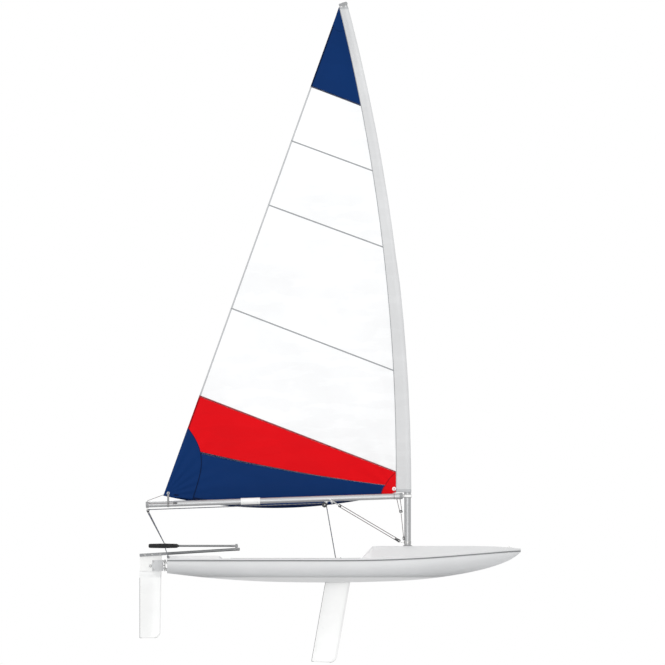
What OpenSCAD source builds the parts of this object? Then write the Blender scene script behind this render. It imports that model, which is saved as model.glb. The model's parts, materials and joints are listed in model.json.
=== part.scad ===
// A one-design sailing dinghy with an unstayed bending mast and a sleeved sail.
// Millimetres. +X is forward, +Y to port and +Z up. The origin is on the waterline,
// on the centreline, halfway along the hull.

/* [Hull] */
// Length of the hull
hull_length = 3400; // [2800:20:4200]
// Widest beam of the hull
beam = 1200; // [960:10:1500]
// Depth of the hull moulding from the sheer to the lowest point of the bottom
hull_depth = 210; // [180:5:260]
// How deep the empty hull floats
draught = 49; // [35:1:70]
// Height of the upright edge of the deck moulding
deck_edge = 17; // [12:1:25]
// Highest point of the foredeck above the sheer amidships
foredeck_height = 135; // [100:5:180]
// Length of the slope at the aft end of the foredeck
foredeck_slope = 106; // [60:2:160]
// Distance from the bow to the top of that slope
foredeck_length = 1424; // [1300:4:1600]
// Height of the raised aft deck above the side decks
aft_deck_height = 24; // [16:1:40]
// Length of the raised aft deck
aft_deck_length = 535; // [440:5:640]

/* [Cockpit] */
// Distance from the transom to the aft end of the well
well_from_transom = 620; // [560:5:700]
// Width of the well
well_width = 480; // [400:5:600]
// Depth of the well below the sheer
well_depth = 121; // [90:1:140]
// Thickness of the well's moulded walls
well_wall = 5; // [3:0.5:8]
// Radius of the well's corners
well_corner = 70; // [40:5:100]

/* [Daggerboard] */
// Fore-and-aft width of the board
board_chord = 236; // [190:2:285]
// Thickness of the board
board_thickness = 26; // [20:1:32]
// Length of the board below the hull
board_depth = 775; // [600:5:920]
// Lean of the board from the upright
board_rake = 10; // [0:1:14]
// Distance from the bow to the middle of the board at the bottom of the hull
board_from_bow = 1760; // [1700:5:1800]
// Gap round the board in its case
board_gap = 5; // [3:0.5:8]
// Wall of the board's case
case_wall = 12; // [8:1:18]
// How far the top of the case stands below the sheer
case_top_below_sheer = 13; // [5:1:30]

/* [Rudder] */
// Fore-and-aft width of the rudder blade
blade_chord = 211; // [170:1:255]
// Thickness of the rudder blade
blade_thickness = 20; // [16:1:25]
// Depth of the rudder blade below the waterline
blade_depth = 583; // [480:5:700]
// Distance from the transom to the rudder's hinge line
hinge_offset = 20; // [18:1:28]
// Radius of the rudder's hinge pin
hinge_pin_radius = 4; // [3:0.5:6]
// Running clearance round the hinge pin
hinge_clearance = 0.08; // [0.04:0.01:0.1]
// Length of the tiller ahead of the hinge line
tiller_reach = 715; // [600:5:850]
// Outside diameter of the tiller tube
tiller_diameter = 28; // [22:1:34]
// Slope of the tiller
tiller_slope = 3.5; // [0:0.5:6]
// Length of the tiller extension behind its joint
extension_length = 850; // [700:5:1000]
// Outside diameter of the extension tube
extension_diameter = 22; // [18:1:27]
// Outside diameter of the foam grip
grip_diameter = 48; // [38:1:54]
// Length of the foam grip
grip_length = 283; // [230:1:340]
// Angle at which the extension is stowed beside the mainsheet
extension_yaw = 6.5; // [6:0.5:12]

/* [Mast] */
// Distance from the bow to the middle of the mast
mast_from_bow = 1088; // [900:4:1150]
// Outside diameter of the lower mast
mast_diameter = 64; // [52:1:77]
// Outside diameter of the upper mast
topmast_diameter = 50; // [44:1:50]
// Height of the masthead above the waterline
mast_top = 5500; // [4600:10:6600]
// Height above the waterline at which the upper mast plugs into the lower
mast_joint_height = 2750; // [2200:10:3300]
// Radius of the mast's bend
mast_bend_radius = 18500; // [15000:500:30000]
// Gap round the mast where it stands in the deck
mast_gap = 1.5; // [0.5:0.1:3]

/* [Boom] */
// Height of the boom's front end above the waterline
boom_height = 782; // [720:1:860]
// Length of the boom
boom_length = 2468; // [2100:4:2600]
// Outside diameter of the boom
boom_diameter = 56; // [45:1:60]
// Slope of the boom, down towards the clew
boom_slope = 1.93; // [1:0.01:3]

/* [Sail] */
// Height of the tack above the boom's front end
tack_rise = 35; // [34:1:60]
// Distance of the clew behind the mast
clew_reach = 2348; // [2000:4:2400]
// Height of the clew above the waterline
clew_height = 785; // [760:1:830]
// How far the foot of the sail hangs below the straight line from tack to clew
foot_round = 134; // [80:1:160]
// Depth of the sail's curve, as a share of its width
sail_camber = 0.085; // [0.05:0.005:0.11]
// How far the leech falls off to leeward halfway up
leech_twist = 90; // [0:5:160]
// Thickness of the sail
sail_thickness = 2; // [1.5:0.5:3]
// Width of the sleeve behind the middle of the mast, at the tack
sleeve_width_low = 108; // [80:1:120]
// The same at the head
sleeve_width_high = 56; // [48:1:64]
// Thickness of the sleeve's cloth
sleeve_wall = 2; // [1.5:0.5:3]

/* [Hidden] */
$fn = 48;

half_length = hull_length / 2;
sheer_level = hull_depth - draught;

// Lines of the hull. Columns: station from -1 at the transom to 1 at the bow, half-breadth
// as a share of half the beam, rise of the bottom and rise of the sheer as shares of the
// depth, and fullness of the section.
LINES = [
    [-1.00, 0.720, 0.424, 0.000, 2.7],
    [-0.75, 0.860, 0.200, 0.000, 2.8],
    [-0.50, 0.950, 0.062, 0.000, 2.8],
    [-0.25, 0.992, 0.007, 0.000, 2.8],
    [ 0.00, 1.000, 0.005, 0.000, 2.8],
    [ 0.20, 0.968, 0.040, 0.022, 2.7],
    [ 0.40, 0.872, 0.118, 0.085, 2.5],
    [ 0.55, 0.745, 0.248, 0.160, 2.3],
    [ 0.70, 0.570, 0.448, 0.258, 2.1],
    [ 0.82, 0.385, 0.676, 0.335, 1.9],
    [ 0.92, 0.195, 0.962, 0.400, 1.8],
    [ 0.97, 0.095, 1.190, 0.425, 1.8],
    [ 1.00, 0.028, 1.390, 0.440, 1.8]
];
BREADTH = 1;
BOTTOM = 2;
SHEER = 3;
FULLNESS = 4;

// A smooth curve through one column of a table whose first column rises.
function row_at(table, s, i = 0) =
    i >= len(table) - 2 || s < table[i + 1][0] ? i : row_at(table, s, i + 1);
function slope_at(table, column, i) =
    let (a = max(i - 1, 0), b = min(i + 1, len(table) - 1))
    (table[b][column] - table[a][column]) / (table[b][0] - table[a][0]);
function curve(table, column, s) =
    let (i = row_at(table, s),
         step = table[i + 1][0] - table[i][0],
         u = (s - table[i][0]) / step,
         u2 = u * u,
         u3 = u2 * u)
    (2 * u3 - 3 * u2 + 1) * table[i][column]
    + (u3 - 2 * u2 + u) * step * slope_at(table, column, i)
    + (3 * u2 - 2 * u3) * table[i + 1][column]
    + (u3 - u2) * step * slope_at(table, column, i + 1);

function clamp(v, low = 0, high = 1) = min(max(v, low), high);
function ease(v) = (1 - cos(180 * clamp(v))) / 2;

function half_breadth(x) = beam / 2 * curve(LINES, BREADTH, x / half_length);
function bottom_z(x) = -draught + hull_depth * curve(LINES, BOTTOM, x / half_length);
function sheer_z(x) = sheer_level + hull_depth * curve(LINES, SHEER, x / half_length);
function fullness(x) = curve(LINES, FULLNESS, x / half_length);

// Deck surface. The foredeck and the aft deck are raised in the middle of the boat.
slope_top_x = half_length - foredeck_length;
slope_foot_x = slope_top_x - foredeck_slope;
aft_deck_end_x = -half_length + aft_deck_length;
aft_deck_slope = 32;
foredeck_flat = 0.32;
foredeck_edge = 0.88;
aft_deck_flat = 0.5;
aft_deck_edge = 0.7;
deck_camber = 5;
bow_droop = 24;
function foredeck_z(x) =
    sheer_level + foredeck_height - bow_droop * pow(clamp((x / half_length - 0.75) / 0.25), 2);
function foredeck_rise(x) =
    max(0, foredeck_z(x) - sheer_z(x) - deck_edge)
    * clamp((x - slope_foot_x) / foredeck_slope);
function aft_deck_rise(x) = aft_deck_height * clamp((aft_deck_end_x - x) / aft_deck_slope);
// side is the distance from the centreline as a share of the half-breadth.
function deck_z(x, side) =
    sheer_z(x) + deck_edge + deck_camber * (1 - side * side)
    + foredeck_rise(x) * (1 - ease((abs(side) - foredeck_flat) / (foredeck_edge - foredeck_flat)))
    + aft_deck_rise(x) * (1 - ease((abs(side) - aft_deck_flat) / (aft_deck_edge - aft_deck_flat)));
function deck_at(x, y) = deck_z(x, y / half_breadth(x));

// Stations of the mouldings, finer at the slopes of the deck. Each row is a stretch:
// from, to and the number of steps.
STRETCHES = [
    [-half_length, aft_deck_end_x - aft_deck_slope, 6],
    [aft_deck_end_x - aft_deck_slope, aft_deck_end_x, 2],
    [aft_deck_end_x, slope_foot_x, 13],
    [slope_foot_x, slope_top_x, 3],
    [slope_top_x, half_length * 0.82, 13],
    [half_length * 0.82, half_length, 8]
];
stations = concat(
    [for (s = STRETCHES, k = [0 : s[2] - 1]) s[0] + (s[1] - s[0]) * k / s[2]],
    [half_length]
);
section_steps = 18;

// A closed solid between two grids of points, low and high, of the same size. The first
// index runs along +X and the second along +Y, or any pair that turns the same way.
module slab(low, high) {
    rows = len(low);
    columns = len(low[0]);
    count = rows * columns;
    function at(i, j) = i * columns + j;
    points = concat([for (r = low) each r], [for (r = high) each r]);
    grid = [for (i = [0 : rows - 2], j = [0 : columns - 2])
        [at(i, j), at(i + 1, j), at(i + 1, j + 1), at(i, j + 1)]];
    above = [for (q = grid) each [
        [q[0] + count, q[3] + count, q[2] + count],
        [q[0] + count, q[2] + count, q[1] + count]]];
    below = [for (q = grid) each [[q[0], q[1], q[2]], [q[0], q[2], q[3]]]];
    function wall(a, b) = [[b, a, a + count], [b, a + count, b + count]];
    ends = [for (j = [0 : columns - 2]) each concat(
        wall(at(0, j + 1), at(0, j)), wall(at(rows - 1, j), at(rows - 1, j + 1)))];
    sides = [for (i = [0 : rows - 2]) each concat(
        wall(at(i, 0), at(i + 1, 0)), wall(at(i + 1, columns - 1), at(i, columns - 1)))];
    polyhedron(points, concat(above, below, ends, sides));
}

// A closed tube wall between two stacks of rings, outer and inner, of the same size.
module sleeve_wall_solid(outer, inner) {
    rings = len(outer);
    around = len(outer[0]);
    count = rings * around;
    function at(i, j) = i * around + j % around;
    points = concat([for (r = outer) each r], [for (r = inner) each r]);
    outside = [for (i = [0 : rings - 2], j = [0 : around - 1]) each [
        [at(i, j), at(i + 1, j), at(i + 1, j + 1)],
        [at(i, j), at(i + 1, j + 1), at(i, j + 1)]]];
    inside = [for (f = outside) [f[2] + count, f[1] + count, f[0] + count]];
    top = rings - 1;
    rims = [for (j = [0 : around - 1]) each [
        [at(0, j), at(0, j + 1), at(0, j + 1) + count],
        [at(0, j), at(0, j + 1) + count, at(0, j) + count],
        [at(top, j + 1), at(top, j), at(top, j) + count],
        [at(top, j + 1), at(top, j) + count, at(top, j + 1) + count]]];
    polyhedron(points, concat(outside, inside, rims));
}

module rounded_rectangle(length, width, radius) {
    square([length - 2 * radius, width], center = true);
    square([length, width - 2 * radius], center = true);
    for (x = [-1, 1], y = [-1, 1])
        translate([x * (length / 2 - radius), y * (width / 2 - radius)]) circle(radius);
}

// A cylinder along Y, centred on the centreline.
module cross_pin(radius, width) {
    rotate([90, 0, 0]) cylinder(r = radius, h = width, center = true);
}

// ---- Hull and deck ----

well_aft_x = -half_length + well_from_transom;
well_front_x = slope_foot_x - 20;
well_floor_z = sheer_level - well_depth;
well_floor_thickness = 6;
module well_outline(grow) {
    translate([(well_aft_x + well_front_x) / 2, 0])
        rounded_rectangle(well_front_x - well_aft_x + 2 * grow, well_width + 2 * grow,
            well_corner + grow);
}
module well_space() {
    translate([0, 0, well_floor_z]) linear_extrude(well_depth + 200) well_outline(0);
}
module well_tub() {
    translate([0, 0, well_floor_z - well_floor_thickness])
        linear_extrude(well_depth + well_floor_thickness + deck_edge / 2)
            well_outline(well_wall);
}

board_x = half_length - board_from_bow;
board_foot_z = bottom_z(board_x);
case_top_z = sheer_level - case_top_below_sheer;
slot_chord = board_chord + 2 * board_gap;
slot_width = board_thickness + 2 * board_gap;
// Places a child on the board's leaning axis, whose zero is at the bottom of the hull.
module on_board_axis() {
    translate([board_x, 0, board_foot_z]) rotate([0, board_rake, 0]) children();
}
case_axis_rise = (case_top_z - board_foot_z) / cos(board_rake);
module board_slot() {
    on_board_axis() translate([0, 0, -150])
        linear_extrude(case_axis_rise + 400) rounded_rectangle(slot_chord, slot_width, 8);
}
function board_axis_x(z) = board_x + (z - board_foot_z) * tan(board_rake);
case_width = slot_width + 2 * case_wall;
case_aft_x = board_axis_x(well_floor_z) - slot_chord / 2 / cos(board_rake) - case_wall;
module board_case() {
    translate([case_aft_x, -case_width / 2, well_floor_z])
        cube([well_front_x - case_aft_x, case_width, case_top_z - well_floor_z]);
}

mast_x = half_length - mast_from_bow;
mast_heel_z = 10;
mast_socket_floor = mast_heel_z - 1;
module mast_socket() {
    translate([mast_x, 0, mast_socket_floor])
        cylinder(r = mast_diameter / 2 + mast_gap, h = 600);
}

function hull_row(x, top) = [for (k = [-section_steps : section_steps])
    let (turn = 90 * k / section_steps,
         power = 2 / fullness(x),
         y = sign(k) * half_breadth(x) * pow(abs(sin(turn)), power),
         drop = (sheer_z(x) - bottom_z(x)) * pow(cos(turn), power))
    [x, y, sheer_z(x) - (top || abs(k) == section_steps ? 0 : drop)]];
module hull_shell() {
    color("gainsboro") difference() {
        slab([for (x = stations) hull_row(x, false)], [for (x = stations) hull_row(x, true)]);
        well_tub();
        board_slot();
        mast_socket();
    }
}

function deck_row(x, top) = [for (k = [-section_steps / 2 : section_steps / 2])
    let (side = k * 2 / section_steps)
    [x, side * half_breadth(x), top ? deck_z(x, side) : sheer_z(x)]];
module deck() {
    color("gainsboro") difference() {
        union() {
            difference() {
                union() {
                    slab([for (x = stations) deck_row(x, false)],
                        [for (x = stations) deck_row(x, true)]);
                    well_tub();
                }
                well_space();
            }
            board_case();
        }
        board_slot();
        mast_socket();
        bow_eye_seat();
        traveller_seats();
    }
}

// The strip that covers the joint of the two mouldings.
strip_height = 12;
strip_width = 7;
strip_gap = 0.5;
strip_taper = 0.7;
module gunwale_strip() {
    color("gray") for (side = [-1, 1]) {
        inner = [for (x = stations) [for (z = [0, 1])
            [x, side * (half_breadth(x) + strip_gap), sheer_z(x) + (z - 0.5) * strip_height]]];
        outer = [for (x = stations) [for (z = [0, 1])
            [x, side * (half_breadth(x) + strip_gap + strip_width),
             sheer_z(x) + (z - 0.5) * strip_height * strip_taper]]];
        if (side > 0) slab(outer, inner);
        else slab(inner, outer);
    }
}

// ---- Fittings on the hull ----

hinge_x = -half_length - hinge_offset;
gudgeon_levels = [68, 136];
gudgeon_height = 14;
knuckle_radius = hinge_pin_radius + 6;
hinge_bore = hinge_pin_radius + hinge_clearance;
transom_plate = 3;
module transom_gudgeons() {
    color("silver") for (z = gudgeon_levels) translate([0, 0, z]) difference() {
        union() {
            translate([-half_length - transom_plate, -24, -9])
                cube([transom_plate, 48, gudgeon_height + 18]);
            translate([hinge_x, -knuckle_radius, 0])
                cube([hinge_offset, 2 * knuckle_radius, gudgeon_height]);
            translate([hinge_x, 0, 0]) cylinder(r = knuckle_radius, h = gudgeon_height);
        }
        translate([hinge_x, 0, -1]) cylinder(r = hinge_bore, h = gudgeon_height + 2);
    }
}

module drain_bung() {
    color("dimgray") translate([-half_length, 180, 75]) rotate([0, -90, 0]) {
        cylinder(r = 17, h = 4);
        translate([0, 0, 4]) cylinder(r = 11, h = 7);
    }
}

bow_eye_x = half_length - 110;
bow_eye_bore = 6;
bow_eye_rise = 16;
bow_eye_rim = bow_eye_bore + 5;
bow_eye_plate = [48, 26];
bow_eye_sink = 3;
module at_bow_eye() {
    translate([bow_eye_x, 0, deck_at(bow_eye_x, 0)]) children();
}
module bow_eye_seat() {
    at_bow_eye() translate([-bow_eye_plate[0] / 2, -bow_eye_plate[1] / 2, -bow_eye_sink])
        cube([bow_eye_plate[0], bow_eye_plate[1], 20]);
}
module bow_eye() {
    color("silver") at_bow_eye() difference() {
        union() {
            translate([-bow_eye_plate[0] / 2, -bow_eye_plate[1] / 2, -bow_eye_sink])
                cube([bow_eye_plate[0], bow_eye_plate[1], bow_eye_sink + 2]);
            translate([0, 0, bow_eye_rise]) cross_pin(bow_eye_rim, 6);
            translate([-bow_eye_rim, -3, 0]) cube([2 * bow_eye_rim, 6, bow_eye_rise]);
        }
        translate([0, 0, bow_eye_rise]) cross_pin(bow_eye_bore, 10);
    }
}

gate_height = 9;
gate_rim = 15;
module mast_gate() {
    color("dimgray") translate([mast_x, 0, deck_at(mast_x, 0)]) difference() {
        cylinder(r = mast_diameter / 2 + mast_gap + gate_rim, h = gate_height);
        translate([0, 0, -1])
            cylinder(r = mast_diameter / 2 + mast_gap, h = gate_height + 2);
    }
}

jammer_x = board_x - 14;
jammer_length = 62;
jammer_width = 44;
jammer_top_z = sheer_level + 6;
jammer_y = -(case_width + jammer_width) / 2 - 0.5;
module mainsheet_jammer() {
    color("dimgray") translate([jammer_x, jammer_y, 0]) {
        translate([-jammer_length / 2, -jammer_width / 2, well_floor_z])
            cube([jammer_length, jammer_width, jammer_top_z - well_floor_z]);
        for (y = [-1, 1]) translate([4, y * 12, jammer_top_z]) cylinder(r = 8, h = 14);
        translate([-24, -12, jammer_top_z]) cube([8, 24, 18]);
    }
}

traveller_x = -half_length + 14;
traveller_eye_y = 300;
traveller_plate = [18, 32];
traveller_sink = 2;
module at_traveller_eyes() {
    for (y = [-1, 1])
        translate([traveller_x, y * traveller_eye_y, deck_at(traveller_x, traveller_eye_y)])
            children();
}
module traveller_base(height) {
    translate([-traveller_plate[0] / 2, -traveller_plate[1] / 2, -traveller_sink])
        cube([traveller_plate[0], traveller_plate[1], height]);
}
module traveller_seats() { at_traveller_eyes() traveller_base(20); }
module traveller_eyes() {
    color("silver") at_traveller_eyes() difference() {
        union() {
            traveller_base(traveller_sink + 3);
            translate([-3, -9, 0]) cube([6, 18, 10]);
            translate([-3, 0, 10]) rotate([0, 90, 0]) cylinder(r = 9, h = 6);
        }
        translate([-5, 0, 10]) rotate([0, 90, 0]) cylinder(r = 5, h = 10);
    }
}

strap_width = 50;
strap_thickness = 3;
strap_z = well_floor_z + 70;
anchor_length = 26;
strap_aft_x = well_aft_x + anchor_length;
strap_front_x = case_aft_x - anchor_length;
module toe_strap() {
    color("black") translate([strap_aft_x, -strap_width / 2, strap_z])
        cube([strap_front_x - strap_aft_x, strap_width, strap_thickness]);
}
module toe_strap_anchors() {
    color("silver") for (x = [well_aft_x, strap_front_x])
        translate([x, -strap_width / 2 - 5, strap_z - 8])
            cube([anchor_length, strap_width + 10, strap_thickness + 16]);
}

// ---- Mast ----

bend_foot_z = boom_height + 28;
function bend_angle(z) = asin((z - bend_foot_z) / mast_bend_radius);
function mast_axis_x(z) =
    z < bend_foot_z ? mast_x : mast_x - mast_bend_radius * (1 - cos(bend_angle(z)));
// A bent tube from one height to another, above the foot of the bend.
module bent_spar(from_z, to_z, diameter) {
    translate([mast_x - mast_bend_radius, 0, bend_foot_z])
        rotate([90, 0, 0]) rotate([0, 0, bend_angle(from_z)])
            rotate_extrude(angle = bend_angle(to_z) - bend_angle(from_z), $fn = 720)
                translate([mast_bend_radius, 0]) circle(d = diameter, $fn = 48);
}
module mast_lower() {
    color("silver") {
        translate([mast_x, 0, mast_heel_z])
            cylinder(d = mast_diameter, h = bend_foot_z - mast_heel_z);
        bent_spar(bend_foot_z, mast_joint_height, mast_diameter);
    }
}
module mast_upper() {
    color("silver") bent_spar(mast_joint_height, mast_top, topmast_diameter);
}
// The cap has an arm aft that the head of the sail is tied to.
cap_reach = 52;
module mast_cap() {
    color("gray") translate([mast_axis_x(mast_top), 0, mast_top])
        rotate([0, -bend_angle(mast_top), 0]) {
            cylinder(d = topmast_diameter + 10, h = 20);
            translate([0, 0, 20]) cylinder(d1 = topmast_diameter + 10, d2 = 44, h = 9);
            translate([-cap_reach, -12, 2]) cube([cap_reach, 24, 16]);
        }
}

// ---- Sail ----

tack_z = boom_height + tack_rise;
head_z = mast_top - 20;
clew_x = mast_x - clew_reach;
function along(a, b, t) = a + (b - a) * t;
function sleeve_width(z) =
    along(sleeve_width_low, sleeve_width_high, (z - tack_z) / (head_z - tack_z));
function luff_x(z) = mast_axis_x(z) - sleeve_width(z);
head_x = luff_x(head_z) - 4;
function leech_x(z) = along(clew_x, head_x, (z - clew_height) / (head_z - clew_height));

// The sail's cross seams, square to the leech. Columns: height at the leech and at the luff
// as shares of the leech and the luff, and how far the seam hangs below its straight
// line as a share of the foot's round.
SEAMS = [
    [0.000, 0.000, 1.00],
    [0.098, 0.012, 0.25],
    [0.204, 0.041, 0.00],
    [0.384, 0.251, 0.00],
    [0.596, 0.506, 0.00],
    [0.727, 0.663, 0.00],
    [0.838, 0.797, 0.00],
    [1.000, 1.000, 0.00]
];
SEAM_LEECH = 0;
SEAM_LUFF = 1;
SEAM_HANG = 2;
function seam_value(t, column) =
    let (i = min(floor(t), len(SEAMS) - 2)) along(SEAMS[i][column], SEAMS[i + 1][column], t - i);
draft_place = 0.42;
function draft(u) = 1 - pow((u - draft_place) / (u < draft_place ? draft_place : 1 - draft_place), 2);
// A point of the sail: u from 0 at the luff to 1 at the leech, t along the list of seams.
function sail_point(u, t) =
    let (leech = seam_value(t, SEAM_LEECH),
         luff = seam_value(t, SEAM_LUFF),
         luff_z = along(tack_z, head_z, luff),
         leech_z = along(clew_height, head_z, leech),
         front = luff_x(luff_z) - 0.3,
         chord = front - leech_x(leech_z),
         hang = foot_round * seam_value(t, SEAM_HANG) * 4 * u * (1 - u))
    [front - chord * u,
     sail_camber * chord * draft(u) + leech_twist * u * u * sin(180 * leech),
     along(luff_z, leech_z, u) - hang];
sail_columns = 14;
module sail_cloth(from_seam, to_seam, rows_each) {
    rows = (to_seam - from_seam) * rows_each;
    half = [0, sail_thickness / 2, 0];
    grid = [for (j = [0 : sail_columns])
        [for (i = [0 : rows]) sail_point(j / sail_columns, from_seam + i / rows_each)]];
    slab([for (r = grid) [for (p = r) p - half]], [for (r = grid) [for (p = r) p + half]]);
}
module sail_foot_panel() { color("midnightblue") sail_cloth(0, 1, 4); }
module sail_stripe() { color("crimson") sail_cloth(1, 2, 3); }
module sail_body() { color("white") sail_cloth(2, 6, 3); }
module sail_head_panel() { color("midnightblue") sail_cloth(6, 7, 3); }

sleeve_gap = 2;
sleeve_around = 14;
function spar_radius(z) =
    z < mast_joint_height + 80
        ? mast_diameter / 2
        : along(mast_diameter, topmast_diameter,
            clamp((z - mast_joint_height - 80) / 300)) / 2;
function sleeve_ring(z, grow) =
    let (radius = spar_radius(z) + sleeve_gap + grow,
         tail = sleeve_width(z) - sleeve_wall + grow,
         open = acos(radius / tail))
    concat(
        [[mast_axis_x(z) - tail, 0, z]],
        [for (k = [0 : sleeve_around])
            let (turn = 180 + open + (360 - 2 * open) * k / sleeve_around)
            [mast_axis_x(z) + radius * cos(turn), radius * sin(turn), z]]);
sleeve_rings = 26;
module sail_sleeve() {
    levels = [for (k = [0 : sleeve_rings]) along(tack_z, head_z, k / sleeve_rings)];
    color("white") sleeve_wall_solid(
        [for (z = levels) sleeve_ring(z, sleeve_wall)], [for (z = levels) sleeve_ring(z, 0)]);
}

// ---- Boom ----

boom_front_x = mast_x - mast_diameter / 2 - 18;
// Places a child on the boom's axis, a distance behind its front end.
module on_boom(distance) {
    translate([boom_front_x, 0, boom_height]) rotate([0, -boom_slope, 0])
        translate([-distance, 0, 0]) children();
}
module aft_tube(radius, length) {
    rotate([0, -90, 0]) cylinder(r = radius, h = length);
}
boom_radius = boom_diameter / 2;
collar_height = 34;
collar_wall = 9;
tongue = [16, 18];
module gooseneck() {
    color("white") difference() {
        union() {
            translate([mast_x, 0, boom_height - collar_height / 2])
                cylinder(r = mast_diameter / 2 + collar_wall, h = collar_height);
            on_boom(0) translate([0, -tongue[0] / 2, -tongue[1] / 2])
                cube([mast_x - boom_front_x, tongue[0], tongue[1]]);
        }
        translate([mast_x, 0, boom_height - collar_height])
            cylinder(d = mast_diameter, h = 2 * collar_height);
    }
}
end_cap_length = 26;
module boom() {
    color("lightgray") on_boom(0) aft_tube(boom_radius, boom_length - end_cap_length);
}
end_cap_radius = boom_radius + 2;
module boom_end_cap() {
    color("white") on_boom(boom_length - end_cap_length)
        aft_tube(end_cap_radius, end_cap_length);
}
band_from_front = 1371;
band_length = 184;
band_wall = 5;
module boom_band() {
    color("white") on_boom(band_from_front) difference() {
        aft_tube(boom_radius + band_wall, band_length);
        translate([1, 0, 0]) aft_tube(boom_radius, band_length + 2);
    }
}
eye_radius = 5;
eye_rim = 9;
lug_thickness = 6;
// A lug under a tube of some radius, with an eye for a block.
module boom_lug(distance, radius, base_length) {
    drop = 12;
    color("silver") on_boom(distance) difference() {
        union() {
            translate([-base_length / 2, -eye_rim, -radius - 3])
                cube([base_length, 2 * eye_rim, 4]);
            translate([-eye_rim, -lug_thickness / 2, -radius - drop])
                cube([2 * eye_rim, lug_thickness, drop]);
            translate([0, 0, -radius - drop]) cross_pin(eye_rim, lug_thickness);
        }
        translate([0, 0, -radius - drop]) cross_pin(eye_radius, 2 * lug_thickness);
        translate([base_length, 0, 0]) aft_tube(radius, 2 * base_length);
    }
}
middle_lug_from_front = 733;
kicker_lug_from_front = 676;
module boom_end_lug() {
    boom_lug(boom_length - end_cap_length / 2, end_cap_radius, end_cap_length);
}
module boom_middle_lug() { boom_lug(middle_lug_from_front, boom_radius, 44); }
module kicker_boom_lug() { boom_lug(kicker_lug_from_front, boom_radius, 44); }

kicker_mast_z = 336;
kicker_reach = mast_diameter / 2 + 24;
module kicker_mast_lug() {
    color("silver") translate([mast_x, 0, kicker_mast_z]) difference() {
        union() {
            cylinder(r = mast_diameter / 2 + 3, h = 26, center = true);
            translate([-kicker_reach, -lug_thickness / 2, -eye_rim])
                cube([kicker_reach - mast_diameter / 2 + 2, lug_thickness, 2 * eye_rim]);
            translate([-kicker_reach, 0, 0]) cross_pin(eye_rim, lug_thickness);
        }
        cylinder(d = mast_diameter, h = 40, center = true);
        translate([-kicker_reach, 0, 0]) cross_pin(eye_radius, 2 * lug_thickness);
    }
}

// ---- Rudder ----

blade_side_gap = 1.5;
cheek_thickness = 6;
stock_plate = 3;
blade_half = blade_chord / 2;
pivot_bolt_radius = 6;
blade_clearance = 5;
web_from_hinge = 16;
web_thickness = 12;
pivot_x = hinge_x - web_from_hinge - web_thickness - blade_clearance - blade_half;
pivot_z = 110;
web_aft_x = hinge_x - web_from_hinge - web_thickness;
cheek_inner = blade_thickness / 2 + blade_side_gap;
cheek_outer = cheek_inner + cheek_thickness;
stock_outer = cheek_outer + stock_plate;
stock_bottom_z = 61;
stock_top_z = 167;
cheek_top_z = 228;
stock_length = 106;

// Points of a round corner or end: centre, radius and the angles it runs between.
function arc(cx, cz, radius, from, to, steps = 12) =
    [for (k = [0 : steps]) let (turn = along(from, to, k / steps))
        [cx + radius * cos(turn), cz + radius * sin(turn)]];
// An outline in the boat's upright middle plane, made into a plate of some thickness.
module upright_plate(thickness) {
    rotate([90, 0, 0]) linear_extrude(thickness, center = true) children();
}
module blade_pivot_hole(radius) {
    translate([pivot_x, 0, pivot_z]) cross_pin(radius, 120);
}

module rudder_stock() {
    color("lightgray") difference() {
        union() {
            for (y = [-1, 1])
                translate([web_aft_x + web_thickness - stock_length,
                    y * (cheek_outer + stock_plate / 2) - stock_plate / 2, stock_bottom_z])
                    cube([stock_length, stock_plate, stock_top_z - stock_bottom_z]);
            translate([web_aft_x, -stock_outer, stock_bottom_z])
                cube([web_thickness, 2 * stock_outer, stock_top_z - stock_bottom_z]);
            for (z = gudgeon_levels)
                translate([0, 0, z + gudgeon_height + hinge_clearance]) {
                    translate([web_aft_x + web_thickness - 1, -knuckle_radius, 0])
                        cube([hinge_x - web_aft_x - web_thickness + 1, 2 * knuckle_radius,
                            gudgeon_height]);
                    translate([hinge_x, 0, 0])
                        cylinder(r = knuckle_radius, h = gudgeon_height);
                }
        }
        translate([hinge_x, 0, 0]) cylinder(r = hinge_pin_radius, h = 300);
        blade_pivot_hole(pivot_bolt_radius);
    }
}
module rudder_cheeks() {
    aft_x = pivot_x - blade_half;
    fore_x = web_aft_x - 0.2;
    corner = 60;
    fore_corner = 20;
    color("white") difference() {
        for (y = [-1, 1]) translate([0, y * (cheek_inner + cheek_outer) / 2, 0])
            upright_plate(cheek_thickness) polygon(concat(
                [[aft_x, stock_bottom_z], [fore_x, stock_bottom_z]],
                arc(fore_x - fore_corner, cheek_top_z - fore_corner, fore_corner, 0, 90),
                arc(aft_x + corner, cheek_top_z - corner, corner, 90, 180)));
        blade_pivot_hole(pivot_bolt_radius);
    }
}
module rudder_pintle() {
    color("silver") translate([hinge_x, 0, gudgeon_levels[0] - 10]) {
        cylinder(r = hinge_pin_radius, h = gudgeon_levels[1] - gudgeon_levels[0] + 42);
        translate([0, 0, gudgeon_levels[1] - gudgeon_levels[0] + 42])
            cylinder(r = hinge_pin_radius + 3, h = 4);
    }
}
module blade_pivot() {
    color("silver") translate([pivot_x, 0, pivot_z]) {
        cross_pin(pivot_bolt_radius, 2 * stock_outer);
        for (y = [-1, 1]) translate([0, y * (stock_outer + 3), 0])
            cross_pin(pivot_bolt_radius + 5, 6);
    }
}

blade_tip_radius = 66;
module rudder_blade() {
    fore_x = pivot_x + blade_half;
    aft_x = pivot_x - blade_half;
    color("white") difference() {
        upright_plate(blade_thickness) polygon(concat(
            arc(pivot_x, pivot_z, blade_half, 0, 180, 24),
            [[aft_x, -blade_depth]],
            arc(fore_x - 10 - blade_tip_radius, -blade_depth + blade_tip_radius,
                blade_tip_radius, 270, 360)));
        blade_pivot_hole(pivot_bolt_radius + 0.1);
    }
}

// ---- Tiller ----

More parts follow.
